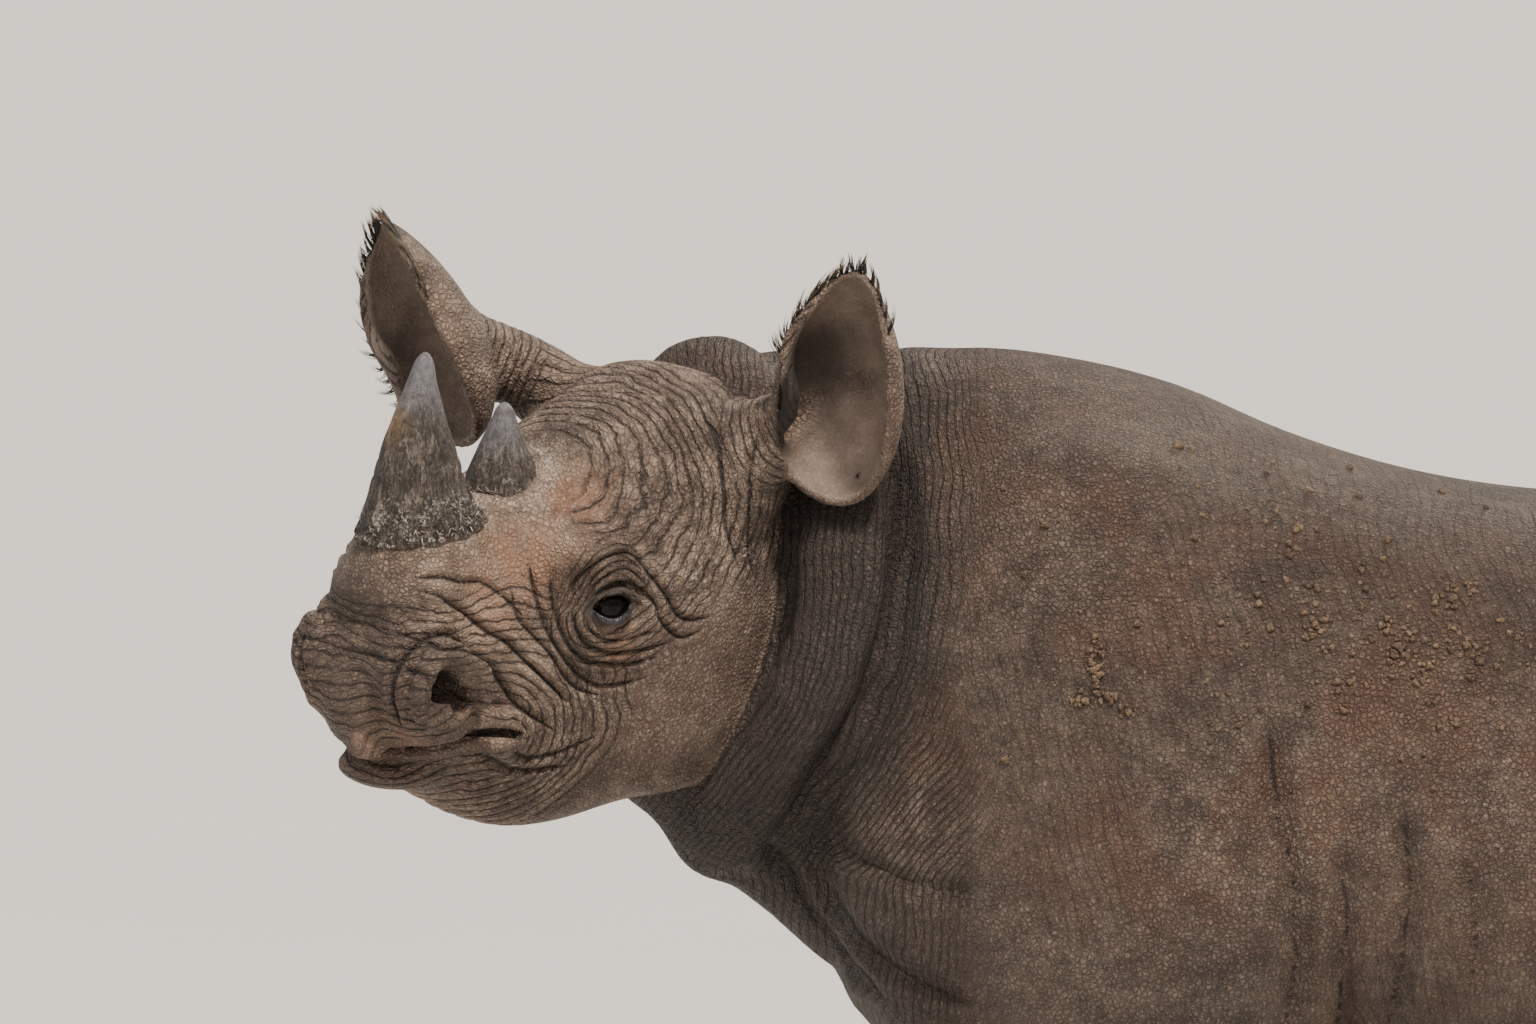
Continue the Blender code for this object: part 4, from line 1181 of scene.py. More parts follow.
class Dress:
    """A new material and its node tree.

    A pattern's scale is its lumps or cells to a metre: 1000 over their size in millimetres.
    """

    def __init__(self, name: str, **shader: float) -> None:
        """Start from a Principled shader.

        Args:
            name: the material's name.
            shader: the shader's plain values by socket name, with _ for a space.
        """
        self.made = bpy.data.materials.new(name)
        self.made.use_nodes = True
        self.shader = self.made.node_tree.nodes["Principled BSDF"]
        for word, value in shader.items():
            self.shader.inputs[word.replace("_", " ")].default_value = value
        self.place = self.add(Node.PLACE, out=3)

    def add(self, kind: Node, *values: object, out: int = 0, **settings: object
            ) -> Socket:
        """Add a node with its settings and links.

        Args:
            kind: the kind of node.
            values: by input, a plain value, a hex colour, a socket to link or None to leave it.
            out: which output to give.
            settings: the node's other properties.
        Returns:
            The node's output.
        """
        tree = self.made.node_tree
        node = tree.nodes.new("ShaderNode" + kind.value[0])
        for word, value in {**kind.value[1], **settings}.items():
            setattr(node, word, value)
        for socket, value in zip([s for s in node.inputs if s.enabled], values):
            if isinstance(value, Socket):
                tree.links.new(value, socket)
            elif value is not None:
                socket.default_value = linear(value) if isinstance(value, str) else value
        return [s for s in node.outputs if s.enabled][out]

    def parts(self, source: str | Socket) -> list[Socket]:
        """Three numbers of a vector.

        Args:
            source: a vector attribute's name, or a socket.
        Returns:
            The numbers' sockets.
        """
        if isinstance(source, str):
            source = self.add(Node.MARK, out=1, attribute_name=source)
        return [self.add(Node.SPLIT, source, out=k) for k in range(3)]

    def patches(self, *rows: tuple[float, ...]) -> list[Socket]:
        """Soft patches of noise, each with its own size and edges.

        Args:
            rows: size in millimetres, detail, roughness, warp, low edge, high edge, strength.
        Returns:
            For each row a number from 0 below its low edge to its strength above the high one.
        """
        return [self.add(Node.BAND, self.add(Node.NOISE, self.place, 1000 / size, detail, rough,
                                             None, warp), low, high, 0.0, most)
                for size, detail, rough, warp, low, high, most in rows]

    def layers(self, tone: Socket, *rows: tuple[Socket, float | Socket, str | Socket]) -> Socket:
        """Colours laid over one another: each by its mask times its share.

        Args:
            tone: the colour underneath.
            rows: mask, share and colour of each layer, from the lowest up.
        Returns:
            The colour on top.
        """
        for mask, share, colour in rows:
            tone = self.add(Node.MIX, self.add(Node.TIMES, mask, share), tone, colour)
        return tone

    def finish(self, colour: Socket, rough: Socket | None = None,
               height: Socket | None = None, depth: float = 0.001
               ) -> bpy.types.Material:
        """Link what varies over the surface to the shader.

        Args:
            colour: the base colour.
            rough: the roughness, if it varies.
            height: the relief, if there is one.
            depth: how many metres a height of 1 is.
        Returns:
            The material.
        """
        bump = None if height is None else self.add(Node.BUMP, 1.0, depth, None, height)
        for word, socket in (("Base Color", colour), ("Roughness", rough), ("Normal", bump)):
            if socket is not None:
                self.made.node_tree.links.new(socket, self.shader.inputs[word])
        return self.made


# ------------------------------------------------------------------ creases and markings
def mirrored(q: Array) -> Array:
    """Points of the head with those of its right side moved to its left."""
    return np.stack([q[:, 0], np.abs(q[:, 1]), q[:, 2]], axis=1)


def blobs(q: Array, spots: Sequence[tuple[Triple, float]]) -> Array:
    """The greatest bell of the distance to each spot, the same on both sides of the head."""
    folded = mirrored(q)
    return np.max([bell(far_from(folded, c), r) for c, r in spots], axis=0)


@dataclass(frozen=True)
class Creases:
    """Families of creases as level sets: a crease lies where a phase is a whole number."""

    muzzle_spacing: float = 0.0105
    eye_spacing: float = 0.0088
    crown_spacing: float = 0.0115
    ear_spacing: float = 0.0085
    neck_spacing: float = 0.0085
    flank_spacing: float = 0.0125
    ring_spacing: float = 0.013
    lip_tip: Pair = (0.215, -0.128)
    mouth_corner: Pair = (0.102, -0.118)
    arch_centre: Triple = (-0.004, 0.0, 0.088)

    def mouth_distance(self, q: Array) -> Array:
        """Distance to the mouth's line seen from the side, less a bell over the nostril.

        Args:
            q: points in the head's frame.
        Returns:
            The distances.
        """
        a, b = np.array(self.lip_tip), np.array(self.mouth_corner)
        flat, run = q[:, [0, 2]], b - a
        t = np.clip((flat - a) @ run / (run @ run), 0, 1)
        away = np.linalg.norm(flat - a - t[:, None] * run, axis=1)
        return away - 0.022 * bell(np.hypot(q[:, 0] - 0.164, q[:, 2] + 0.066), 0.036)

    def eye_rings(self, q: Array) -> tuple[Array, Array]:
        """Distance round the nearer eye, and the strength of the rings there.

        Above the eye the rings are tall arches. Below it they are bags that hang from
        a line running back and up from the eye, and they end behind it.

        Args:
            q: points in the head's frame.
        Returns:
            The distances and the strengths.
        """
        best, share = np.full(len(q), FAR), np.zeros(len(q))
        tail = np.array((-0.075, 0.0, 0.038))
        for eye in EYES:
            a, y, z = eye.local(q).T
            flat = np.stack([a, 0 * a, z], axis=1)
            bags, _ = segment_distance(flat, np.array([[0.0, 0.0, 0.0], tail]))
            arch = np.sqrt((1.22 * a) ** 2 + z ** 2)
            high = step(-0.004, 0.010, z)
            far = np.hypot(bags + high * (arch - bags), 0.5 * (y - 0.02))
            behind = high * step(-0.022, -0.036, a)
            closer = far < best
            best = np.where(closer, far, best)
            share = np.where(closer, 1 - 0.85 * behind, share)
        return best, share

    def head(self, q: Array) -> tuple[Array, Array]:
        """Phases and strengths, three families to a point, in the head's frame.

        A phase is a distance over the family's spacing: from the mouth, from the nearer eye
        or ear, and from the middle of the crown. Noise makes the lines wander.

        Args:
            q: points in the head's frame.
        Returns:
            The phases and the strengths, a row of three to a point.
        """
        f, u, side = q[:, 0], q[:, 2], np.abs(q[:, 1])
        wander = noise(q, 0.060, 1)[:, None] * 0.9 + noise(q, 0.022, 2)[:, None] * 0.35
        mouth = self.mouth_distance(q)
        muzzle = (step(0.165, 0.120, mouth) * step(0.010, 0.020, mouth)
                  * step(-0.060, 0.000, f + 0.35 * (u + 0.12)))
        eye_far, fade = self.eye_rings(q)
        eye = step(0.013, 0.019, eye_far) * step(0.088, 0.052, eye_far) * fade
        muzzle *= 1 - 0.85 * step(0.085, 0.050, eye_far)
        muzzle *= 1 - 0.8 * bell(np.hypot(f - 0.188, u + 0.055), 0.036) * step(0.03, 0.06, side)
        arch = np.sqrt((f - self.arch_centre[0]) ** 2 + (0.80 * side) ** 2
                       + (u - self.arch_centre[2]) ** 2)
        ear_far = np.min([far_from(q, e.middle) for e in EARS], axis=0)
        bowl = np.max([step(0.006, 0.001, e.egg(0.0, 0.0).measure(q)) for e in EARS], axis=0)
        ear = step(0.150, 0.105, ear_far) * (1 - bowl)
        crown = (step(0.045, 0.080, arch) * step(0.050, 0.000, f) * step(-0.020, 0.040, u)
                 * (1 - 0.9 * ear) * (1 - 0.8 * eye) * (1 - bowl)) * 1.15
        rings = np.where(ear > eye, ear_far / self.ear_spacing, eye_far / self.eye_spacing)
        phase = np.stack([mouth / self.muzzle_spacing, rings, arch / self.crown_spacing], axis=1)
        return phase + wander, np.stack([muzzle, np.maximum(0.8 * ear, 0.72 * eye), crown], axis=1)

    def body(self, p: Array) -> tuple[Array, Array]:
        """The same behind the head: neck bands, faint flank creases and leg rings.

        The phases run along the body, along it with a lean, and up the legs.

        Args:
            p: points in the body's frame.
        Returns:
            The phases and the strengths, a row of three to a point.
        """
        x, z = p[:, 0], p[:, 2]
        wander = noise(p, 0.070, 4)[:, None] * 0.8 + noise(p, 0.026, 5)[:, None] * 0.35
        lean = curve([0.70, 0.75, 0.86, 1.00, 1.15], [0.615, 0.575, 0.500, 0.466, 0.475])(z)
        neck = step(-0.270, -0.470, x + 0.060 * noise(p, 0.11, 6))
        flank = 0.34 * (1 - neck) * step(0.30, 0.50, z) * step(-0.5, 0.5, noise(p, 0.16, 7))
        ring = (bell(z - 0.30, 0.07) + bell(z - 0.105, 0.04)) * step(0.42, 0.36, z)
        phase = np.stack([(x + lean) / self.neck_spacing,
                          (x + 0.25 * z) / self.flank_spacing,
                          z / self.ring_spacing], axis=1)
        return phase + wander, np.stack([neck, flank, 0.8 * ring], axis=1)


@dataclass(frozen=True)
class Fold:
    """A deep fold of the flank: its line seen from the side, width and depth in metres."""

    line: tuple[Pair, ...]
    width: float
    depth: float


FOLDS = (
    Fold(((-0.445, 1.150), (-0.424, 1.080), (-0.422, 0.999), (-0.434, 0.933), (-0.460, 0.859),
          (-0.500, 0.800), (-0.528, 0.755), (-0.560, 0.722)), 0.0130, 0.0170),
    Fold(((-0.068, 0.880), (-0.066, 0.800), (-0.052, 0.720), (-0.046, 0.640), (-0.055, 0.540)),
         0.0120, 0.0095),
    Fold(((-0.010, 0.760), (0.000, 0.690), (-0.004, 0.610), (-0.012, 0.530)), 0.0095, 0.0070),
    Fold(((0.050, 0.790), (0.058, 0.700), (0.050, 0.610), (0.034, 0.530)), 0.0095, 0.0060),
    Fold(((0.110, 0.740), (0.122, 0.660), (0.116, 0.590)), 0.0090, 0.0040),
    Fold(((-0.500, 0.735), (-0.452, 0.712), (-0.390, 0.694), (-0.340, 0.688)), 0.0085, 0.0040),
    Fold(((-0.560, 0.745), (-0.528, 0.690), (-0.492, 0.630), (-0.430, 0.575)), 0.0090, 0.0075),
    Fold(((-0.505, 0.700), (-0.460, 0.640), (-0.405, 0.600), (-0.350, 0.580)), 0.0085, 0.0055),
    Fold(((-0.115, 0.560), (-0.150, 0.520), (-0.210, 0.500)), 0.0090, 0.0050),
    Fold(((0.470, 0.640), (0.500, 0.560), (0.545, 0.500)), 0.0120, 0.0080),
    Fold(((0.640, 0.420), (0.700, 0.395), (0.770, 0.420)), 0.0090, 0.0050),
    Fold(((0.905, 0.640), (0.880, 0.560), (0.840, 0.500)), 0.0100, 0.0060),
)


HEAD_FOLDS = (
    # the arch over the eye, which runs on down past the outer corner, and its inner arches
    Fold(((0.030, 0.001), (0.042, 0.014), (0.043, 0.029), (0.034, 0.043), (0.011, 0.053),
          (-0.009, 0.053), (-0.031, 0.031), (-0.049, 0.007), (-0.061, -0.012), (-0.077, -0.021),
          (-0.099, -0.021), (-0.118, -0.014)), 0.0030, 0.0042),
    Fold(((0.033, 0.018), (0.030, 0.033), (0.012, 0.044), (-0.009, 0.043), (-0.026, 0.031)),
         0.0022, 0.0020),
    Fold(((0.032, 0.010), (0.026, 0.026), (0.010, 0.035), (-0.010, 0.034), (-0.030, 0.018)),
         0.0022, 0.0022),
    Fold(((0.029, 0.002), (0.019, 0.016), (-0.001, 0.0215), (-0.021, 0.0160), (-0.036, 0.000),
          (-0.042, -0.016), (-0.057, -0.029), (-0.077, -0.038), (-0.092, -0.035),
          (-0.104, -0.026)), 0.0026, 0.0036),
    # the bags under the eye, from its front corner down and back up behind it
    Fold(((0.028, -0.006), (0.022, -0.025), (0.006, -0.034), (-0.014, -0.034), (-0.029, -0.028),
          (-0.045, -0.029)), 0.0022, 0.0024),
    Fold(((0.040, 0.010), (0.038, -0.014), (0.024, -0.037), (0.008, -0.046), (-0.014, -0.048),
          (-0.041, -0.044), (-0.064, -0.038)), 0.0028, 0.0036),
    Fold(((0.058, 0.045), (0.058, 0.012), (0.051, -0.013), (0.039, -0.036), (0.021, -0.054),
          (-0.006, -0.060), (-0.031, -0.059), (-0.054, -0.051)), 0.0028, 0.0036),
    Fold(((0.077, 0.056), (0.075, 0.023), (0.064, -0.015), (0.044, -0.046), (0.024, -0.067),
          (0.006, -0.080), (-0.021, -0.080), (-0.049, -0.072)), 0.0032, 0.0038),
    Fold(((0.098, 0.030), (0.094, -0.005), (0.074, -0.026), (0.058, -0.042), (0.036, -0.069),
          (0.014, -0.086), (-0.010, -0.094)), 0.0032, 0.0040),
    # the folds of the muzzle, from the bridge of the nose down to the cheek
    Fold(((0.234, 0.004), (0.225, -0.009), (0.180, -0.018), (0.127, -0.046), (0.096, -0.085),
          (0.060, -0.112), (0.028, -0.128)), 0.0036, 0.0050),
    Fold(((0.218, 0.028), (0.205, 0.030), (0.165, 0.010), (0.115, -0.022), (0.065, -0.064),
          (0.015, -0.106)), 0.0034, 0.0044),
    Fold(((0.212, 0.042), (0.162, 0.038), (0.113, 0.018), (0.083, -0.010)), 0.0030, 0.0034),
    Fold(((0.240, -0.030), (0.232, -0.034), (0.224, -0.052)), 0.0028, 0.0024),
    Fold(((0.132, -0.135), (0.100, -0.152), (0.060, -0.163), (0.010, -0.160)), 0.0034, 0.0036),
    Fold(((0.100, -0.136), (0.070, -0.146), (0.020, -0.143), (-0.010, -0.132)), 0.0030, 0.0030),
    # the mouth, from beyond the lip's tip to the corner, and the edge before the ear
    Fold(((0.262, -0.147), (0.236, -0.142), (0.224, -0.139), (0.212, -0.132), (0.188, -0.121),
          (0.155, -0.119), (0.124, -0.115), (0.106, -0.117), (0.086, -0.124), (0.070, -0.134)),
         0.0036, 0.0070),
    Fold(((0.110, -0.098), (0.096, -0.104), (0.080, -0.116), (0.072, -0.132)), 0.0030, 0.0036),
    Fold(((-0.138, 0.176), (-0.126, 0.135), (-0.130, 0.071), (-0.150, 0.010)), 0.0034, 0.0022),
    Fold(((-0.160, 0.160), (-0.150, 0.110), (-0.160, 0.050), (-0.175, 0.000)), 0.0030, 0.0032),
)


NOSTRIL_EDGE = (                # the groove outside a nostril's rim, from below it in front
    (0.222, 0.066, -0.104), (0.235, 0.060, -0.078), (0.234, 0.062, -0.050), (0.222, 0.070, -0.022),
    (0.200, 0.078, -0.008), (0.177, 0.082, -0.012), (0.155, 0.084, -0.030), (0.136, 0.085, -0.052),
    (0.124, 0.085, -0.072), (0.120, 0.084, -0.094))


@dataclass
class Skin:
    """One skin for head, neck, trunk, tail, ears and legs; lengths in metres."""

    flesh: Flesh = field(default_factory=Flesh)
    creases: Creases = field(default_factory=Creases)
    cell: float = 0.0052
    first_cut: float = 0.125        # share of triangles kept before the head is made finer
    rounds: int = 4                 # times that long edges are split
    low: Triple = (-1.10, -0.55, -0.03)
    high: Triple = (1.05, 0.45, 1.42)
    crease_depth: float = 0.0018
    crease_power: float = 2.4       # how narrow a crease is

    def longest_edge(self, p: Array) -> Array:
        """Longest edge wanted at each place: long on the body, short round the eyes.

        Soft masks lead from one length to the next, and creases ask for the least.

        Args:
            p: points in the body's frame.
        Returns:
            The lengths.
        """
        q = HEAD.inward(p)
        on_head = self.head_share(p)
        neck = step(-0.34, -0.42, p[:, 0]) * step(0.55, 0.62, p[:, 2])
        near = step(-0.05, 0.02, q[:, 1])
        seen = step(0.34, 0.20, p[:, 0]) * step(0.02, -0.06, p[:, 1]) * step(0.40, 0.46, p[:, 2])
        coarse, side, crease, fine_crease = 0.030, 0.0170, 0.0095, 0.0040
        want = coarse + seen * (side - coarse)
        want = want + neck * (0.0086 + 0.012 * step(-0.06, 0.02, p[:, 1]) - want)
        away, _ = self.fold_distance(p, np.full(len(p), 0.0))
        want = np.where(away < 3.0, np.minimum(want, crease), want)
        face = 0.0112 - 0.0058 * near
        muzzle = step(0.15, 0.10, self.creases.mouth_distance(q)) * step(0.04, 0.07, q[:, 0])
        face -= 0.0007 * near * muzzle
        ear_far = np.min([far_from(q, e.middle) for e in EARS], axis=0)
        face = face + step(0.14, 0.11, ear_far) * (0.0082 - face)
        want = want + on_head * (face - want)
        away, _ = self.fold_distance(p, np.full(len(p), 1.0))
        creased = (away < 2.6) & (near > 0.5) & (on_head > 0.5)
        want = np.where(creased, np.minimum(want, fine_crease), want)
        for eye in EYES:
            close = step(0.040, 0.026, far_from(q, eye.centre()))
            want = want + close * ((0.0022 if eye.side is Side.LEFT else 0.0042) - want)
        return want

    def head_share(self, p: Array) -> Array:
        """1 where a point lies on the head's form, 0 where it lies on the body's.

        Args:
            p: points in the body's frame.
        Returns:
            The shares.
        """
        head = HEAD.carry(self.flesh.head().solid()).measure(p)
        return step(0.004, -0.004, head - self.flesh.body().distance(p))

    def fold_distance(self, p: Array, on_head: Array) -> tuple[Array, Array]:
        """How many widths each point lies from the nearest deep fold, and that fold's depth.

        Args:
            p: points in the body's frame.
            on_head: 1 where the head's own folds count and 0 where the flank's do.
        Returns:
            The distance in fold widths, 9 far away, and the depth there, which fades
            to nothing at both ends of a fold.
        """
        best, deep = np.full(len(p), FAR), np.zeros(len(p))
        for places, folds, pick, clear in ((HEAD.inward(p), HEAD_FOLDS, on_head > 0.5, 0.0),
                                           (p, FOLDS, on_head <= 0.5, 0.07)):
            flat = places[pick] * (1, 0, 1)
            if not len(flat):
                continue
            flat[:, 0] += 0.0035 * noise(places[pick], 0.035, 12)
            flat[:, 2] += 0.0030 * noise(places[pick], 0.030, 13)
            near, depth = np.full(len(flat), FAR), np.zeros(len(flat))
            for fold in folds:
                line = smooth_path(np.array([(x, 0, z) for x, z in fold.line]), 3)
                away, along = segment_distance(flat, line)
                ends = step(0.0, 0.18, along) * step(1.0, 0.82, along)
                wide = away / (fold.width * (0.35 + 0.65 * ends))
                closer = wide < near
                near = np.where(closer, wide, near)
                depth = np.where(closer, fold.depth * ends, depth)
            depth *= step(clear, clear + 0.02, np.abs(places[pick][:, 1])) if clear else 1.0
            if folds is HEAD_FOLDS:
                wide, cut = self.nostril_groove(places[pick])
                depth = np.where(wide < near, cut, depth)
                near = np.minimum(wide, near)
            best[pick], deep[pick] = near, depth
        return best, deep

    def nostril_groove(self, q: Array) -> tuple[Array, Array]:
        """How many widths head points lie from the groove outside a nostril, and its depth.

        Args:
            q: points in the head's frame.
        Returns:
            The distances in widths and the depths, which fade at both ends.
        """
        width, depth = 0.0038, 0.0058
        edge = settled(self.flesh.head(), smooth_path(NOSTRIL_EDGE, 4))
        away, along = segment_distance(mirrored(q), edge)
        ends = step(0.0, 0.15, along) * step(1.0, 0.85, along)
        return away / (width * (0.4 + 0.6 * ends)), depth * ends

    def mesh(self) -> tuple[Array, Array, Array]:
        """Points on the form's surface, its triangles and outward normals.

        Returns:
            The points, the triangles and the normals.
        """
        clay = self.flesh.whole()
        points, quads = surface_net(clay.distance, self.low, self.high, self.cell)
        raw = bpy.data.meshes.new("raw")
        raw.from_pydata(points.tolist(), [], quads.tolist())
        thing = bpy.data.objects.new("raw", raw)
        bpy.context.scene.collection.objects.link(thing)
        group = thing.vertex_groups.new(name="keep")
        q = HEAD.inward(points)
        fine = step(0.30, 0.24, np.linalg.norm(q * (1, 1, 0.9), axis=1))
        for share in (0.25, 1.0):           # the weight of the fine places, then of the rest
            chosen = np.flatnonzero((fine > 0.5) == (share < 1))
            group.add(chosen.tolist(), share, "REPLACE")
        thin = thing.modifiers.new("Thin", "DECIMATE")
        thin.ratio = self.first_cut
        thin.vertex_group = "keep"
        thin.vertex_group_factor = 1.0
        thin.use_collapse_triangulate = True
        graph = bpy.context.evaluated_depsgraph_get()
        cut = thing.evaluated_get(graph).to_mesh()
        points = np.zeros(len(cut.vertices) * 3, np.float32)
        cut.vertices.foreach_get("co", points)
        faces = np.zeros(len(cut.polygons) * 3, np.int32)
        cut.polygons.foreach_get("vertices", faces)
        points, faces = points.reshape(-1, 3).astype(float), faces.reshape(-1, 3).astype(int)
        bpy.data.objects.remove(thing, do_unlink=True)
        bpy.data.meshes.remove(raw)
        for _ in range(self.rounds):
            points, faces = split_long_edges(points, faces, self.longest_edge)
            points = relaxed(points, faces)
            points, _ = onto(clay.distance, points)
        points = relaxed(points, faces)
        points, normals = onto(clay.distance, points)
        return points, faces, normals

    def spots(self, q: Array) -> dict[str, Array]:
        """Soft round spots of colour on the head.

        Args:
            q: points in the head's frame.
        Returns:
            By name, the strength at each point: rust, dust, patch (the dark cheek), pale
            (smooth brow), lip (its tip) and hole (painted shade inside a nostril).
        """
        return {
            "rust": blobs(q, (((0.085, 0.080, 0.050), 0.046), ((0.125, 0.070, 0.010), 0.034),
                              ((-0.010, 0.118, -0.042), 0.020), ((0.205, 0.045, -0.100), 0.026),
                              ((0.02, 0.07, 0.10), 0.036))),
            "dust": blobs(q, (((-0.070, 0.120, 0.030), 0.036), ((-0.130, 0.120, 0.030), 0.038),
                              ((0.155, 0.045, 0.090), 0.020), ((0.115, 0.040, 0.090), 0.026),
                              ((0.060, 0.060, 0.098), 0.022), ((-0.010, 0.085, 0.075), 0.026),
                              ((-0.055, 0.115, -0.060), 0.024), ((0.000, 0.105, -0.100), 0.024),
                              ((0.030, 0.080, -0.140), 0.030))),
            "patch": blobs(q, (((-0.105, 0.120, -0.090), 0.062), ((-0.150, 0.120, -0.040), 0.045),
                               ((-0.060, 0.120, -0.140), 0.050))),
            "pale": blobs(q, (((0.130, 0.080, -0.005), 0.045), ((0.080, 0.090, -0.050), 0.030))),
            "lip": bell(far_from(q, (0.233, 0.022, -0.126)), 0.018),
            "hole": blobs(q, (((0.185, 0.070, -0.062), 0.020),))}

    def ear_hollows(self, q: Array) -> tuple[Array, Array]:
        """The ears' bare insides, and the deep shade in each bowl's own inner, lower part.

        Args:
            q: points in the head's frame.
        Returns:
            The two strengths, from 0 to 1.
        """
        inside, deep = np.zeros(len(q)), np.zeros(len(q))
        for ear in EARS:
            inner, _, up = ((q - np.array(ear.middle)) @ ear.rows().T).T
            inner = inner * ear.side.value - 0.5 * np.maximum(-up - 0.01, 0)
            bowl = step(0.004, -0.001, ear.egg(ear.wall, 0.03).measure(q))
            inside = np.maximum(inside, bowl)
            deep = np.maximum(deep, bowl * step(-0.010, 0.030, inner) * step(0.085, 0.030, up)
                              * (1.0 if ear.side is Side.LEFT else 0.7))
        return inside, deep

    def lid_edges(self, q: Array) -> tuple[Array, Array]:
        """The dark lids round each eye, and the wet rim of each lower lid.

        Args:
            q: points in the head's frame.
        Returns:
            The two strengths, from 0 to 1.
        """
        lids, rim = np.zeros(len(q)), np.zeros(len(q))
        for eye in EYES:
            off, local = eye.almond().measure(q), eye.local(q)
            outer = step(0.004, 0.010, local[:, 1])
            low = step(0.002, -0.004, local[:, 2])
            lids = np.maximum(lids, outer * step(0.0125 + 0.007 * low, 0.0040, off))
            rim = np.maximum(rim, outer * low * step(0.0058, 0.0040, off))
        return lids, rim

    def build(self) -> bpy.types.Object:
        """Mesh the skin, move its folds in the mesh and write its markings and its painted shade.

        A crease goes in by its depth times (0.5 + 0.5 cos of its phase)^2.4, and a fold by
        a bell of its depth, with a lower swelling on both sides of it.

        Returns:
            The piece.
        """
        points, faces, normals = self.mesh()
        q = HEAD.inward(points)
        on_head = self.head_share(points)
        head_phase, head_force = self.creases.head(q)
        body_phase, body_force = self.creases.body(points)
        phase = np.where(on_head[:, None] > 0.5, head_phase, body_phase)
        force = np.where(on_head[:, None] > 0.5, head_force * (2 * on_head[:, None] - 1),
                         body_force * (1 - 2 * on_head[:, None]))
        wave = (0.5 + 0.5 * np.cos(2 * np.pi * phase)) ** self.crease_power
        fade = np.clip(0.80 + 0.6 * noise(points, 0.045, 9), 0, 1)[:, None]
        carried = 0.7 * step(-0.34, -0.42, points[:, 0])
        share = np.array([1.0, 1.0, 0.9]) * np.where(on_head > 0.5, 1.0, carried)[:, None]
        away, deep_fold = self.fold_distance(points, on_head)
        calm = 1 - 0.7 * bell(away, 2.4) * step(0.0, 0.002, deep_fold)
        calm *= 1 - 0.55 * on_head * step(0.185, 0.225, q[:, 0])
        drop = -self.crease_depth * (wave * force * fade * share).sum(axis=1) * calm
        drop += deep_fold * (0.5 * bell(away - 2.3, 1.3) - bell(away, 1.0))
        # Painted shade: the colour darkens along each deep fold.
        dark = bell(away, 0.9) * step(0.0, 0.003, deep_fold) * (0.60 + 0.40 * on_head)
        horn_foot = np.max([bell(far_from(q, (f, 0, u)) - r, 0.010)
                            for f, u, r in ((0.153, 0.092, 0.052), (0.043, 0.100, 0.048))], axis=0)
        drop += horn_foot * (0.0008 + 0.0022 * noise(points, 0.0095, 31)
                             + 0.0012 * noise(points, 0.005, 32))
        points = points + drop[:, None] * normals
        points[:, 2] = np.maximum(points[:, 2], 0.0)
        spots = self.spots(q)
        ears, deep = self.ear_hollows(q)
        lids, rim = self.lid_edges(q)
        nose = on_head * step(0.180, 0.225, q[:, 0] - 0.25 * q[:, 2])
        roll, _ = segment_distance(points, self.flesh.roll())
        # Painted shade and a greyer tone along the band of the neck roll.
        grey_and_painted_shade = (1 - on_head) * step(0.125, 0.070, roll)
        streaks = (1 - on_head) * np.maximum(
            bell(np.hypot((points[:, 0] + 0.040) / 0.030, (points[:, 2] - 0.760) / 0.075), 1.0),
            0.8 * bell(np.hypot((points[:, 0] - 0.140) / 0.020, (points[:, 2] - 0.800) / 0.05), 1.0))
        # Painted shade: the chest, which faces down and away from the light, is darker.
        chest_shade = (1 - on_head) * step(-0.24, -0.42, points[:, 0]) * step(0.78, 0.62, points[:, 2])
        # Painted shade on the undersides, where the normal points down.
        under = step(0.10, -0.35, normals[:, 2])
        # Painted shade: the body is darker where its surface faces up.
        top_shade = (1 - on_head) * step(0.10, 0.70, normals[:, 2])
        thing = put_mesh("skin", points, faces, HideFinish().material(), vectors={
            "crease_phase": phase, "crease_force": np.clip(force, 0, 1),
            "markings": np.stack([
                spots["rust"], np.max([spots["dust"], streaks, 0.55 * horn_foot], axis=0),
                spots["patch"]], axis=1),
            # the second number is painted shade deep in the ear bowls and inside the nostrils
            "hollows": np.stack([ears, np.maximum(deep, spots["hole"]), lids], axis=1),
            # the second number is painted shade along the deep folds and on the undersides
            "regions": np.stack([np.minimum(away, 4.0) + 4 * (deep_fold < 0.0004),
                                 np.maximum(0.8 * dark, 0.5 * under), spots["lip"]], axis=1),
            "tones": np.stack([on_head, np.max([grey_and_painted_shade, 0.8 * chest_shade, 0.30 * top_shade], axis=0), rim], 1),
            "washes": np.stack([spots["pale"], nose, horn_foot], axis=1)})
        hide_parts("head", "neck", "trunk", "tail", "ear_left", "ear_right",
                    "leg_fore_left", "leg_fore_right", "leg_hind_left", "leg_hind_right")
        return thing


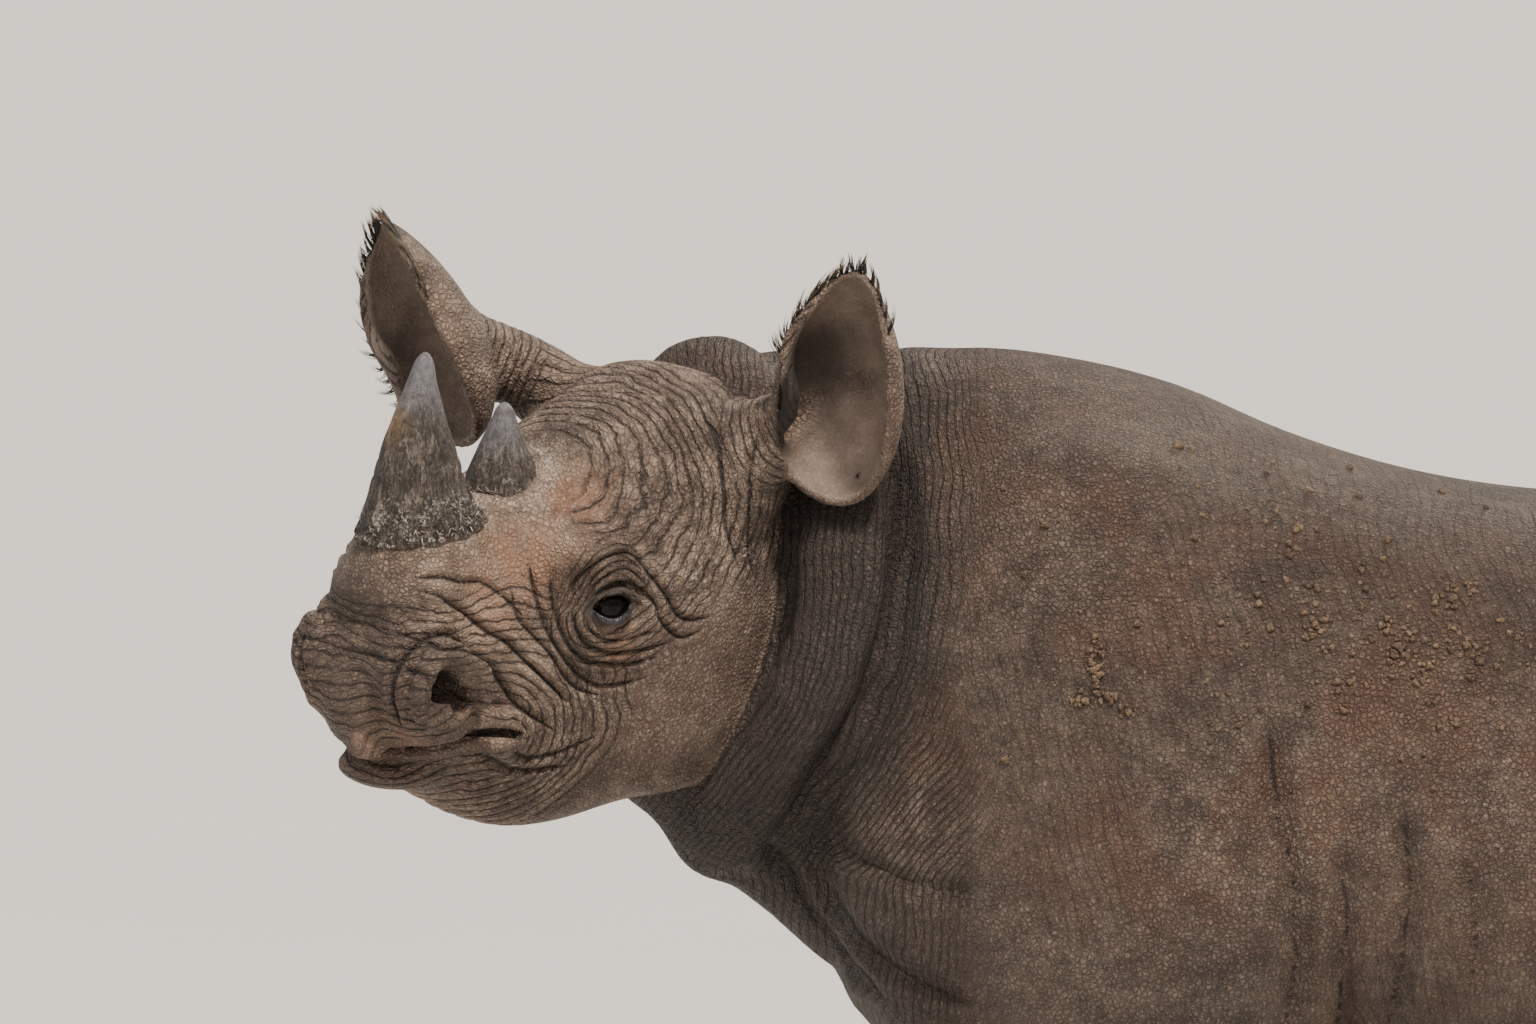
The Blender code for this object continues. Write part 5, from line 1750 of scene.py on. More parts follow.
# ------------------------------------------------------------------ finishes
@dataclass(frozen=True)
class HideFinish:
    """Bare rhinoceros hide with dried dust: matt, pebbled leather, with painted shade in its creases."""

    deep_brown: str = "#493a31"
    brown: str = "#6b5547"
    # neck: a greyer tone for the body's wrinkles, and the colour of the painted shade on the neck roll,
    # chest and back
    neck: str = "#3c3430"
    clay: str = "#74513e"
    # tan: pale patches and a pale brow, and the painted highlight on the pebble tops
    tan: str = "#b09a86"
    dust: str = "#cfc4b6"
    # crease: the colour of the painted shade in cracks, creases and folds
    crease: str = "#241b16"
    rust: str = "#96684a"
    patch: str = "#553f32"
    inner_ear: str = "#74665c"
    # hollow: painted shade deep in the ear bowls and inside the nostrils
    hollow: str = "#1b130f"
    lid: str = "#29231f"
    wet: str = "#303136"
    lip: str = "#a2806c"
    pebble_mm: float = 5.2
    grain_mm: float = 1.6
    bump_depth: float = 0.0025

    def valleys(self, d: Dress, phase: list[Socket], force: list[Socket], wobble: Socket
                ) -> list[Socket]:
        """Deep valleys where a phase is a whole number, and fine ones half way between.

        Args:
            d: the material.
            phase: the phases of the three families of creases.
            force: their strengths.
            wobble: what bends their lines.
        Returns:
            The deep and the fine valleys, 1 along the middle of each.
        """
        deep, fine = [], []
        for line, strength in zip(phase, force):
            bent = d.add(Node.PLUS, line, wobble)
            away = d.add(Node.FOLDED, bent, 0.5)
            half_way = d.add(Node.FOLDED, d.add(Node.TIMES_PLUS, bent, 2.0, 0.5), 0.5)
            deep.append(d.add(Node.TIMES, d.add(Node.BAND, away, 0.17, 0.015),
                              d.add(Node.BAND, strength, 0.05, 0.7)))
            fine.append(d.add(Node.TIMES, d.add(Node.BAND, half_way, 0.16, 0.0), strength))
        return [d.add(Node.MOST, d.add(Node.MOST, a, b), c) for a, b, c in (deep, fine)]

    def long_scales(self, d: Dress, phase: list[Socket], force: list[Socket], place: list[Socket]
                    ) -> Socket:
        """Cells drawn out into scales that lie along the folds of the strongest family.

        Args:
            d: the material.
            phase: the phases of the three families of creases.
            force: their strengths.
            place: the three numbers of a place.
        Returns:
            The distance to the nearest crack between two scales.
        """
        per_metre = 105.0                   # a scale is about 9.5 mm long
        first = d.add(Node.ABOVE, force[0], d.add(Node.MOST, force[1], force[2]))
        others = d.add(Node.MINUS, 1.0, first)
        second = d.add(Node.TIMES, others, d.add(Node.ABOVE, force[1], force[2]))
        main = d.add(Node.TIMES, phase[2], d.add(Node.MINUS, others, second))
        main = d.add(Node.TIMES_PLUS, phase[1], second, main)
        main = d.add(Node.TIMES_PLUS, phase[0], first, main)
        lanes = d.add(Node.JOIN, d.add(Node.TIMES, main, 2.1), d.add(Node.TIMES, place[0], per_metre),
                      d.add(Node.TIMES, place[2], per_metre))
        warp = d.add(Node.NOISE, d.place, 1000 / 14.0, 2, 0.5, out=1)
        return d.add(Node.CRACKS, d.add(Node.SHIFT, lanes, warp), 1.0)

    def material(self) -> bpy.types.Material:
        """The hide's material: cracks along the creases, pebbles, dust and markings, with painted shade
        and painted highlights.

        Returns:
            The material.
        """
        # Leather of a live animal: broad soft light, a faint grey bloom at grazing angles.
        d = Dress("Hide_leather_dusty", Roughness=0.66, Specular_IOR_Level=0.34, IOR=1.45,
                  Sheen_Weight=0.03, Sheen_Roughness=0.6)
        phase, force = d.parts("crease_phase"), d.parts("crease_force")
        rust, dust, patch = d.parts("markings")
        ears, deep, lids = d.parts("hollows")
        fold_away, shade, lip = d.parts("regions")
        on_head, grey_and_painted_shade, rim = d.parts("tones")
        pale, nose, foot = d.parts("washes")
        on_body = d.add(Node.TIMES_PLUS, on_head, -1.0, 1.0)
        place = d.parts(d.place)
        (breaks, fine_fields, broad, light, mottle, warm, stains, chalk, clouds, chips, flecks,
         speckle) = d.patches(
            (30.0, 3, 0.60, 0.0, 0.28, 0.46, 1.00), (16.0, 3, 0.60, 0.0, 0.46, 0.62, 1.00),
            (200.0, 4, 0.60, 0.0, 0.32, 0.68, 1.00), (34.0, 6, 0.72, 0.0, 0.36, 0.72, 1.00),
            (75.0, 5, 0.66, 0.0, 0.50, 0.64, 0.40), (130.0, 4, 0.60, 0.0, 0.46, 0.62, 0.45),
            (26.0, 4, 0.70, 0.0, 0.30, 0.58, 1.00), (5.5, 4, 0.75, 0.0, 0.50, 0.66, 1.00),
            (48.0, 4, 0.65, 0.0, 0.36, 0.60, 1.00), (4.2, 5, 0.80, 1.0, 0.50, 0.60, 1.00),
            (6.0, 5, 0.80, 1.6, 0.54, 0.62, 1.00), (6.5, 5, 0.80, 0.0, 0.44, 0.66, 1.00))

        # Creases, long scales, and two sizes of pebbles with cracks round them.
        wobble = d.add(Node.TIMES_PLUS, d.add(Node.NOISE, d.place, 1000 / 9.0, 3, 0.6), 0.55, -0.275)
        valley, fine = self.valleys(d, phase, force, wobble)
        valley, fine = d.add(Node.TIMES, valley, breaks), d.add(Node.TIMES, fine, fine_fields)
        strength = d.add(Node.MOST, d.add(Node.MOST, force[0], force[1]), force[2])
        drift = d.add(Node.NOISE, d.place, 1000 / 7.0, 2, 0.5, out=1)
        bent_place = d.add(Node.SHIFT, d.place, d.add(Node.SCALE, drift, (0.0028, 0.0028, 0.0028)))
        pebbles = d.add(Node.CRACKS, bent_place, 1000 / self.pebble_mm)
        plates = d.add(Node.CRACKS, bent_place, 1000 / (2.7 * self.pebble_mm))
        long_crack, round_crack, big_crack = (
            d.add(Node.TIMES, d.add(Node.BAND, edge, *across), d.add(Node.BAND, strength, *where))
            for edge, across, where in (
                (self.long_scales(d, phase, force, place), (0.13, 0.01), (0.1, 0.45)),
                (pebbles, (0.17, 0.01), (0.95, 0.25, 0.3, 1.0)),
                (plates, (0.06, 0.0), (0.8, 0.1, 0.15, 0.75))))
        crack = d.add(Node.MOST, long_crack, d.add(Node.TIMES, round_crack, 0.75))
        crack = d.add(Node.MOST, crack, d.add(Node.TIMES, big_crack, 0.8))
        smooth_brow = d.add(Node.MOST, d.add(Node.MOST, rust, pale), foot)
        for smooth, less in ((patch, -0.4), (lids, -0.65), (smooth_brow, -0.6), (ears, -0.82)):
            crack = d.add(Node.TIMES, crack, d.add(Node.TIMES_PLUS, smooth, less, 1.0))
        dome = d.add(Node.TIMES, d.add(Node.BAND, pebbles, 0.0, 0.42),
                     d.add(Node.TIMES_PLUS, ears, -0.8, 1.0))
        grain = d.add(Node.NOISE, d.place, 1000 / self.grain_mm, 3, 0.65)
        reach = d.add(Node.PLUS, fold_away, d.add(Node.TIMES, wobble, 0.8))
        reach = d.add(Node.TIMES, reach, d.add(Node.TIMES_PLUS, on_head, -1.4, 2.4))
        groove = d.add(Node.TIMES, d.add(Node.BAND, reach, 0.75, 0.1),
                       d.add(Node.BAND, shade, 0.02, 0.55, 0.25, 1.0))

        # Relief: pebbles and grain, less the cracks and creases, with coarse folds on the body.
        height = d.add(Node.TIMES_PLUS, dome, 0.38, d.add(Node.TIMES, grain, 0.24))
        flat = d.add(Node.MOST, d.add(Node.TIMES, patch, -0.6), ears)
        height = d.add(Node.TIMES, height, d.add(Node.TIMES_PLUS, flat, -0.5, 1.0))
        for cut, depth in ((crack, 0.62), (valley, 0.95), (fine, 0.4), (groove, 0.8)):
            height = d.add(Node.MINUS, height, d.add(Node.TIMES, cut, depth))
        lumps = d.add(Node.NOISE, d.place, 1000 / 22.0, 5, 0.66)
        upright = d.add(Node.JOIN, d.add(Node.TIMES, place[0], 0.55), place[1], place[2])
        wrinkles = d.add(Node.NOISE, upright, 1000 / 8.5, 5, 0.7, None, 0.8)
        for relief, more, least in ((lumps, 0.9, 0.8), (wrinkles, 2.0, 0.2)):
            share = d.add(Node.TIMES_PLUS, on_body, more, least)
            height = d.add(Node.PLUS, height, d.add(Node.TIMES, relief, share))
        for where, more in ((lids, -0.6), (on_body, 1.1)):
            height = d.add(Node.TIMES, height, d.add(Node.TIMES_PLUS, where, more, 1.0))

        # Colours, each laid over the last by its mask times its share; some layers are painted shade and
        # painted highlight.
        dusty = d.add(Node.TIMES, d.add(Node.TIMES_PLUS, dust, 0.85, 0.1),
                      d.add(Node.TIMES, chalk, clouds))
        # Painted highlight on the tops of the pebbles.
        raised_highlight = d.add(Node.TIMES, dome, d.add(Node.BAND, grain, 0.4, 0.62))
        tone = d.layers(
            d.add(Node.MIX, broad, self.deep_brown, self.brown),
            (light, d.add(Node.TIMES_PLUS, on_head, 0.18, 0.42), self.tan),
            (d.add(Node.BAND, wrinkles, 0.52, 0.38, 0.0, 0.44), on_body, self.neck),
            (mottle, on_body, self.deep_brown), (warm, on_body, self.clay),
            # painted shade, with a greyer tone, on the neck roll, chest and back in the neck colour
            (grey_and_painted_shade, 0.8, self.neck), (pale, 0.55, self.tan), (nose, 0.6, self.deep_brown),
            (patch, 0.75, self.patch), (d.add(Node.TIMES, rust, stains), 0.62, self.rust),
            (ears, 0.6, self.inner_ear), (dusty, 0.9, self.dust),
            (d.add(Node.TIMES, chips, foot), 0.6, self.dust),
            (d.add(Node.TIMES, flecks, patch), 0.55, self.dust),
            # painted highlight on the pebble tops, less in the painted shade
            (d.add(Node.TIMES, raised_highlight, speckle), d.add(Node.TIMES_PLUS, grey_and_painted_shade, -0.34, 0.74), self.tan),
            # painted shade in cracks, creases and folds in the crease colour, and deep in the ear bowls
            # and nostrils in the hollow colour
            (crack, d.add(Node.TIMES_PLUS, on_head, -0.04, 0.5), self.crease),
            (fine, 0.45, self.crease), (valley, 0.84, self.crease), (groove, 0.92, self.crease),
            (shade, 0.5, self.crease), (lip, 0.32, self.lip), (deep, 0.93, self.hollow),
            (lids, 0.84, self.lid), (rim, 0.85, self.wet))
        rough = d.add(Node.TIMES_PLUS, dusty, 0.22, d.add(Node.BAND, grain, 0.3, 0.7, 0.55, 0.7))
        rough = d.add(Node.TIMES, rough, d.add(Node.TIMES_PLUS, rim, -0.65, 1.0))
        return d.finish(tone, rough, height, self.bump_depth)


@dataclass(frozen=True)
class HornFinish:
    """Keratin horn: a fibrous brown foot with pale frayed ends, worn smooth and grey above."""

    fibre: str = "#51473f"
    pale: str = "#7d7066"
    dark: str = "#221b17"
    pit: str = "#2e241d"
    tip: str = "#6d6b6e"
    slate: str = "#4c474a"
    stain: str = "#a8824f"
    fleck: str = "#c6bbab"
    bump_depth: float = 0.0017

    def material(self) -> bpy.types.Material:
        """The horn's material, from the attributes horn_map and horn_marks.

        Returns:
            The material.
        """
        # Matted hair-like keratin: silky along the fibres where it is worn, dull at the foot.
        d = Dress("Horn_keratin_worn", Roughness=0.5, Specular_IOR_Level=0.40, IOR=1.54)
        rise, turn, stain = d.parts("horn_map")
        wear, ridge, _ = d.parts("horn_marks")
        line = d.add(Node.JOIN, d.add(Node.TIMES, d.add(Node.COSINE, turn), 14.0),
                     d.add(Node.TIMES, d.add(Node.SINE, turn), 14.0), d.add(Node.TIMES, rise, 5.0))
        fibres = d.add(Node.NOISE, line, 1.9, 6, 0.66)
        x, y, z = d.parts(d.place)
        tall = d.add(Node.JOIN, x, y, d.add(Node.TIMES, z, 0.42))
        blotch = d.add(Node.NOISE, tall, 1000 / 12.0, 5, 0.7, None, 0.6)
        swirl = d.add(Node.NOISE, tall, 1000 / 5.5, 5, 0.72, None, 1.2)
        low = d.add(Node.TIMES_PLUS, blotch, 0.5, d.add(Node.MINUS, rise, 0.25))
        low = d.add(Node.BAND, low, 0.88, 0.52)
        foot = d.add(Node.BAND, d.add(Node.TIMES_PLUS, blotch, 0.16, rise), 0.36, 0.2)
        clouds, specks, speck_fields, stains, chips = d.patches(
            (13.0, 6, 0.76, 0.0, 0.36, 0.64, 1.0), (3.4, 5, 0.80, 0.0, 0.51, 0.60, 1.0),
            (17.0, 3, 0.60, 0.0, 0.42, 0.58, 1.0), (9.0, 4, 0.65, 0.0, 0.34, 0.60, 1.0),
            (5.0, 4, 0.75, 0.0, 0.44, 0.56, 1.0))
        flecks = d.add(Node.TIMES, specks, speck_fields)
        pits = d.add(Node.BAND, d.add(Node.CELLS, d.place, 1000 / 3.6), 0.34, 0.14)
        pits = d.add(Node.TIMES, pits, foot)
        tone = d.layers(
            d.add(Node.MIX, d.add(Node.BAND, fibres, 0.34, 0.66), self.dark, self.fibre),
            (d.add(Node.BAND, blotch, 0.48, 0.66), 0.8, self.pale),
            (d.add(Node.BAND, swirl, 0.53, 0.42), 0.92, self.dark),
            (d.add(Node.MINUS, 1.0, low), 0.85, d.add(Node.MIX, clouds, self.slate, self.tip)),
            (d.add(Node.BAND, fibres, 0.52, 0.36), 0.45, self.dark),
            (flecks, d.add(Node.TIMES_PLUS, foot, 0.8, 0.12), self.fleck),
            (stain, stains, self.stain), (d.add(Node.TIMES, ridge, flecks), 0.9, self.fleck),
            (wear, 0.8, self.pit), (pits, 0.6, self.pit))
        height = d.add(Node.TIMES, fibres, d.add(Node.TIMES_PLUS, low, 0.75, 0.15))
        for relief, where, more, least in ((swirl, low, 1.1, 0.2), (chips, foot, 0.6, 0.12)):
            share = d.add(Node.TIMES_PLUS, where, more, least)
            height = d.add(Node.PLUS, height, d.add(Node.TIMES, relief, share))
        height = d.add(Node.MINUS, height, pits)
        grit = d.add(Node.TIMES, d.add(Node.NOISE, d.place, 1000 / 1.6, 3, 0.7), 0.25)
        return d.finish(tone, d.add(Node.BAND, low, 0.0, 1.0, 0.42, 0.76),
                        d.add(Node.PLUS, height, grit), self.bump_depth)


@dataclass(frozen=True)
class EyeFinish:
    """A wet eyeball: almost black, with a brown iris and a soft dark pupil."""

    pupil: str = "#020202"
    iris: tuple[str, str] = ("#080504", "#1c100a")
    ball: str = "#070505"
    rim: str = "#241b17"

    def material(self) -> bpy.types.Material:
        """The ball's material, from the angle off its gaze in the attribute off_gaze.

        Returns:
            The material.
        """
        # Wet and glassy: a sharp highlight over a nearly black ball.
        d = Dress("Eye_wet_cornea", Roughness=0.30, Specular_IOR_Level=0.04, IOR=1.38,
                  Coat_Weight=0.26, Coat_Roughness=0.05)
        off, around, _ = d.parts("off_gaze")
        spokes = d.add(Node.JOIN, d.add(Node.COSINE, around), d.add(Node.SINE, around),
                       d.add(Node.TIMES, off, 0.6))
        rays = d.add(Node.NOISE, spokes, 9.0, 4)
        iris = d.add(Node.MIX, d.add(Node.BAND, rays, 0.35, 0.65), *self.iris)
        tone = d.add(Node.MIX, d.add(Node.BAND, off, 0.3, 0.42), self.pupil, iris)
        tone = d.add(Node.MIX, d.add(Node.BAND, off, 0.6, 0.72), tone, self.ball)
        return d.finish(d.add(Node.MIX, d.add(Node.BAND, off, 1.0, 1.25), tone, self.rim))


@dataclass(frozen=True)
class NailFinish:
    """Toenail keratin: grey-brown, ridged from cuticle to floor, scuffed and muddy below."""

    dark: str = "#4a3e35"
    pale: str = "#8b7a68"
    mud: str = "#6d5946"
    scuff: str = "#b4a794"
    bump_depth: float = 0.0012

    def material(self) -> bpy.types.Material:
        """The nail's material, from across and up in the attribute nail_map.

        Returns:
            The material.
        """
        # Dull horn, a little smoother than the hide round it.
        d = Dress("Toenail_keratin_scuffed", Roughness=0.55, Specular_IOR_Level=0.4, IOR=1.54)
        across, up, _ = d.parts("nail_map")
        line = d.add(Node.JOIN, d.add(Node.TIMES, across, 18.0), d.add(Node.TIMES, up, 1.6))
        grooves = d.add(Node.NOISE, line, 1.0, 4)
        scuffs, = d.patches((4.0, 4, 0.75, 0.0, 0.55, 0.68, 1.0))
        tone = d.layers(
            d.add(Node.MIX, d.add(Node.BAND, grooves, 0.35, 0.65), self.dark, self.pale),
            (d.add(Node.BAND, up, -0.2, -0.9), 0.6, self.mud), (scuffs, 0.6, self.scuff))
        grit = d.add(Node.TIMES, d.add(Node.NOISE, d.place, 1000 / 1.5, 3), 0.2)
        return d.finish(tone, d.add(Node.BAND, grooves, 0.3, 0.7, 0.62, 0.42),
                        d.add(Node.PLUS, grooves, grit), self.bump_depth)


@dataclass(frozen=True)
class BristleFinish:
    """Coarse black-brown bristles, paler towards their tips."""

    root: str = "#1a1411"
    tips: tuple[str, str] = ("#3a2b21", "#8a6d4c")

    def material(self) -> bpy.types.Material:
        """The bristles' material, from root to tip in the attribute strand.

        Returns:
            The material.
        """
        # Stiff hair: a narrow soft shine along each bristle.
        d = Dress("Bristle_hair_coarse", Roughness=0.48, Specular_IOR_Level=0.45, IOR=1.55)
        along, tint, _ = d.parts("strand")
        return d.finish(d.add(Node.MIX, d.add(Node.BAND, along, 0.35, 1.0), self.root,
                              d.add(Node.MIX, tint, *self.tips)))


@dataclass(frozen=True)
class FrayFinish:
    """Split keratin: brown at the root, bleached and dusty at the ends."""

    root: str = "#5d4c40"
    tips: tuple[str, str] = ("#7f6e60", "#c9bfb2")

    def material(self) -> bpy.types.Material:
        """The flakes' material, from root to tip in the attribute strand.

        Returns:
            The material.
        """
        # Dead, dry keratin: chalky and without shine.
        d = Dress("Keratin_frayed_dry", Roughness=0.85, Specular_IOR_Level=0.2)
        along, tint, _ = d.parts("strand")
        return d.finish(d.add(Node.MIX, d.add(Node.BAND, along, 0.0, 0.8), self.root,
                              d.add(Node.MIX, tint, *self.tips)))


@dataclass(frozen=True)
class MudFinish:
    """Dried mud: pale, matt and crumbly."""

    dark: str = "#4d3f36"
    middle: str = "#77634f"
    pale: str = "#958270"
    bump_depth: float = 0.0018

    def material(self) -> bpy.types.Material:
        """The mud's material.

        Returns:
            The material.
        """
        # Dry clay has no shine at all, and is paler than the hide it clings to.
        d = Dress("Mud_clay_dried", Roughness=0.93, Specular_IOR_Level=0.15)
        clouds, grit = d.patches((18.0, 4, 0.65, 0.0, 0.35, 0.65, 1.0),
                                 (2.2, 3, 0.70, 0.0, 0.50, 0.66, 1.0))
        tone = d.layers(d.add(Node.MIX, clouds, self.dark, self.middle), (grit, 0.5, self.pale))
        cracks = d.add(Node.BAND, d.add(Node.CRACKS, d.place, 1000 / 6.0), 0.08, 0.0)
        lumps = d.add(Node.NOISE, d.place, 1000 / 5.0, 4, 0.7)
        return d.finish(tone, None, d.add(Node.TIMES_PLUS, cracks, -0.6, lumps), self.bump_depth)


# ------------------------------------------------------------------ horns, eyes and nails
@dataclass(frozen=True)
class Horn:
    """A horn's size and pose on the head's middle plane; angles in degrees."""

    name: str
    forward: float
    up: float
    length: float
    radius: float
    lean: float
    bend: float
    stain: float = 0.0          # an orange stain low on the tip
    gap: bool = False           # a flake lost at the foot, with a pale ridge beside it
    root: float = 0.024
    rows: int = 150
    around: int = 160
    taper: tuple[Pair, ...] = (         # share of the whole length, and of the radius there
        (0, 1.30), (0.12, 1.10), (0.25, 0.950), (0.40, 0.805), (0.60, 0.57), (0.70, 0.455),
        (0.80, 0.34), (0.89, 0.245), (0.95, 0.185), (1.0, 0.13))

    def plain(self, rise: Array, way: Array) -> tuple[Array, Array, Array]:
        """The smooth horn before fibres and pits, in the head's frame.

        Args:
            rise: shares of the whole length, from the root to the tip.
            way: turns round the axis in radians, 0 at the back.
        Returns:
            Places on its surface, their directions out, and the axis' direction there.
        """
        steps = 160
        t = np.linspace(0, 1, steps)
        angle = np.radians(self.lean + self.bend * t)
        axis = np.stack([-np.sin(angle), np.zeros_like(t), np.cos(angle)], axis=1)
        middle = (axis[1:] + axis[:-1]) / 2 * (self.length + self.root) / (steps - 1)
        line = np.array([self.forward, 0.0, self.up - self.root]) + np.r_[
            np.zeros((1, 3)), np.cumsum(middle, 0)]
        centre = np.stack([np.interp(rise, t, c) for c in line.T], axis=1)
        up = np.stack([np.interp(rise, t, c) for c in axis.T], axis=1)
        blunt = np.sqrt(np.clip(1 - np.clip((rise - 0.93) / 0.07, 0, 1) ** 2, 0, 1))
        size = self.radius * curve(*zip(*self.taper))(rise) * blunt
        back = np.stack([-up[:, 2], np.zeros(len(rise)), up[:, 0]], axis=1)
        out = (1.06 * np.cos(way)[:, None] * back
               + 0.94 * np.sin(way)[:, None] * np.array([0.0, 1.0, 0.0]))
        return centre + size[:, None] * out, out, up

    def build(self) -> bpy.types.Object:
        """Mesh the horn from its root in the skin to its closed tip.

        The axis leans by lean + bend t at a share t of its length. The radius follows a
        smooth taper, wide at the foot, and rounds off at the tip as a root of 1 minus a
        square. Fibres, pits and a frayed collar move the points in and out.

        Returns:
            The piece.
        """
        t = 1 - (1 - np.linspace(0, 1, self.rows)) ** 1.15
        span = self.length + self.root
        turn = np.linspace(0, 2 * np.pi, self.around, endpoint=False)
        rise, way = (g.ravel() for g in np.meshgrid(t, turn, indexing="ij"))
        surface, out, _ = self.plain(rise, way)
        seat = np.stack([np.cos(way) * 0.03, np.sin(way) * 0.03, rise * span], axis=1)
        shift = 7.0 * self.forward
        fibre = (noise(seat * (1, 1, 0.22) + shift, 0.0055, 21)
                 + 0.6 * noise(seat * (1, 1, 0.16) + shift, 0.0026, 22))
        lumps = noise(seat + shift, 0.014, 23)
        pits = step(0.25, 0.8, noise(seat + shift, 0.0042, 24))
        low, foot = step(0.62, 0.28, rise), step(0.26, 0.12, rise + 0.05 * lumps)
        swell = 0.0008 * fibre * (0.15 + 0.85 * low) + 0.0014 * lumps * (0.35 + 0.65 * low)
        swell += foot * (0.0024 * noise(seat + shift, 0.0065, 25) - 0.0026 * pits + 0.0012)
        rings = bell(rise - 0.30 - 0.02 * lumps, 0.018) + 0.7 * bell(rise - 0.40, 0.014)
        swell -= 0.0010 * rings
        wear = np.zeros(len(rise))
        ridge = np.zeros(len(rise))
        if self.gap:
            away = np.hypot((way - 4.05) / 0.36, (rise - 0.28 - 0.10 * np.cos(3 * way)) / 0.075)
            wear = step(1.1, 0.6, away)
            swell -= 0.006 * wear
            beside = np.hypot((way - 2.15) / 0.22, (rise - 0.36) / 0.10)
            ridge = step(1.2, 0.6, beside)
            swell += 0.0035 * ridge
        thin = np.clip((1 - rise) / 0.10, 0, 1)
        points = surface + (swell * thin)[:, None] * out
        points = HEAD.outward(points)
        stain = self.stain * bell(np.hypot((way - 4.2) / 1.1, (rise - 0.61) / 0.10), 1.0)
        faces = grid_faces(self.rows, self.around)[:, ::-1]
        thing = put_mesh(self.name + "_keratin", points, faces, HornFinish().material(), vectors={
            "horn_map": np.stack([rise, way, stain], axis=1),
            "horn_marks": np.stack([wear, ridge, foot], axis=1)})
        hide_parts(self.name)
        return thing


HORNS = (Horn("horn_front", 0.150, 0.086, 0.158, 0.047, -9, 16, stain=0.8, root=0.012),
         Horn("horn_rear", 0.041, 0.090, 0.092, 0.044, -6, 8, gap=True, root=0.028))


@dataclass(frozen=True)
class Eyeballs:
    """Two wet eyeballs behind their lids."""

    rows: int = 56
    around: int = 72
    cornea: float = 0.0016

    def build(self) -> list[bpy.types.Object]:
        """Balls of longitude and latitude about the gaze, each with a low cornea.

        Returns:
            The two pieces.
        """
        dress = EyeFinish().material()
        off = np.linspace(0, np.pi, self.rows)
        turn = np.linspace(0, 2 * np.pi, self.around, endpoint=False)
        a, b = (g.ravel() for g in np.meshgrid(off, turn, indexing="ij"))
        made = []
        for eye in EYES:
            size = eye.radius + self.cornea * bell(a, 0.55)
            local = size[:, None] * np.stack([np.sin(a) * np.cos(b), np.cos(a),
                                              np.sin(a) * np.sin(b)], axis=1)
            faces = grid_faces(self.rows, self.around)
            if eye.side is Side.LEFT:
                faces = faces[:, ::-1]
            points = HEAD.outward(local @ eye.rows() + eye.centre())
            word = eye.side.name.lower()
            thing = put_mesh(f"eyeball_{word}", points, faces, dress, vectors={
                "off_gaze": np.stack([a, b, 0 * a], axis=1)})
            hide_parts(f"eye_{word}")
            made.append(thing)
        return made


@dataclass(frozen=True)
class Toenails:
    """Three broad nails round the front of each foot."""

    size: Triple = (0.014, 0.029, 0.025)
    lift: float = 0.029
    sink: float = 0.006
    lean: float = -8.0
    fan: float = 54.0
    rows: int = 40
    around: int = 64

    def build(self, flesh: Flesh) -> list[bpy.types.Object]:
        """One piece of three nails for each foot, each a squarish egg with grooves.

        Args:
            flesh: the form whose feet carry the nails.
        Returns:
            The four pieces.
        """
        # Each foot: its middle along the body, its two radii, and where its leg stands.
        dress = NailFinish().material()
        lift, way = (g.ravel() for g in np.meshgrid(
            np.linspace(-np.pi / 2, np.pi / 2, self.rows),
            np.linspace(0, 2 * np.pi, self.around, endpoint=False), indexing="ij"))
        soft = [np.sign(v) * np.abs(v) ** 0.78 for v in
                (np.cos(lift) * np.cos(way), np.cos(lift) * np.sin(way), np.sin(lift))]
        local = np.stack(soft, axis=1)
        made = []
        for leg, x, radii, spread, reaches in (
                ("fore", -0.225, (0.098, 0.089), flesh.fore_spread, flesh.fore_reach),
                ("hind", 0.655, (0.095, 0.086), flesh.hind_spread, flesh.hind_reach)):
            for word, side, reach in (("left", -1, reaches[0]), ("right", 1, reaches[1])):
                points, faces, across, up = [], [], [], []
                for number, fan in enumerate((-self.fan, 0.0, self.fan)):
                    turn = math.radians(fan)
                    seed = number + 10 * side + (40 if leg == "hind" else 0)
                    across_up = np.stack([local[:, 1] * 0.03, 0 * local[:, 2],
                                          local[:, 2] * 0.004], axis=1)
                    ridge = noise(across_up, 0.004, 60 + seed)
                    grown = local * (1 + (0.035 * ridge + 0.04 * noise(local * 0.02, 0.014, 70 + seed)
                                          )[:, None])
                    body = grown * np.array(self.size)
                    facing = (Matrix.Rotation(-turn, 3, "Z")
                              @ Matrix.Rotation(math.radians(self.lean), 3, "Y"))
                    placed = body @ np.array(facing).T + (
                        x + reach - (radii[0] - self.sink) * math.cos(turn),
                        side * spread + (radii[1] - self.sink) * math.sin(turn), self.lift)
                    placed[:, 2] = np.maximum(placed[:, 2], 0.0015)
                    faces.append(grid_faces(self.rows, self.around) + len(placed) * number)
                    points.append(placed)
                    across.append(local[:, 1] + 3.0 * number)
                    up.append(local[:, 2])
                across, up = np.concatenate(across), np.concatenate(up)
                thing = put_mesh(f"toenails_{leg}_{word}", np.concatenate(points),
                                 np.concatenate(faces), dress,
                                 vectors={"nail_map": np.stack([across, up, 0 * up], axis=1)})
                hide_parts(*(f"nail_{leg}_{word}_{k}" for k in (1, 2, 3)))
                made.append(thing)
        return made


# ------------------------------------------------------------------ bristles and mud
def unwrap(p: Array) -> Array:
    """Places on a flat unwrap of the skin: round the body's long axis and along it."""
    margin, span, axis_height = 0.02, 0.96, 0.75
    around = np.arctan2(p[:, 1], p[:, 2] - axis_height) / (2 * np.pi) + 0.5
    return np.stack([margin + span * np.mod(around, 1.0), margin + span * (p[:, 0] + 1.0) / 2.0], 1)


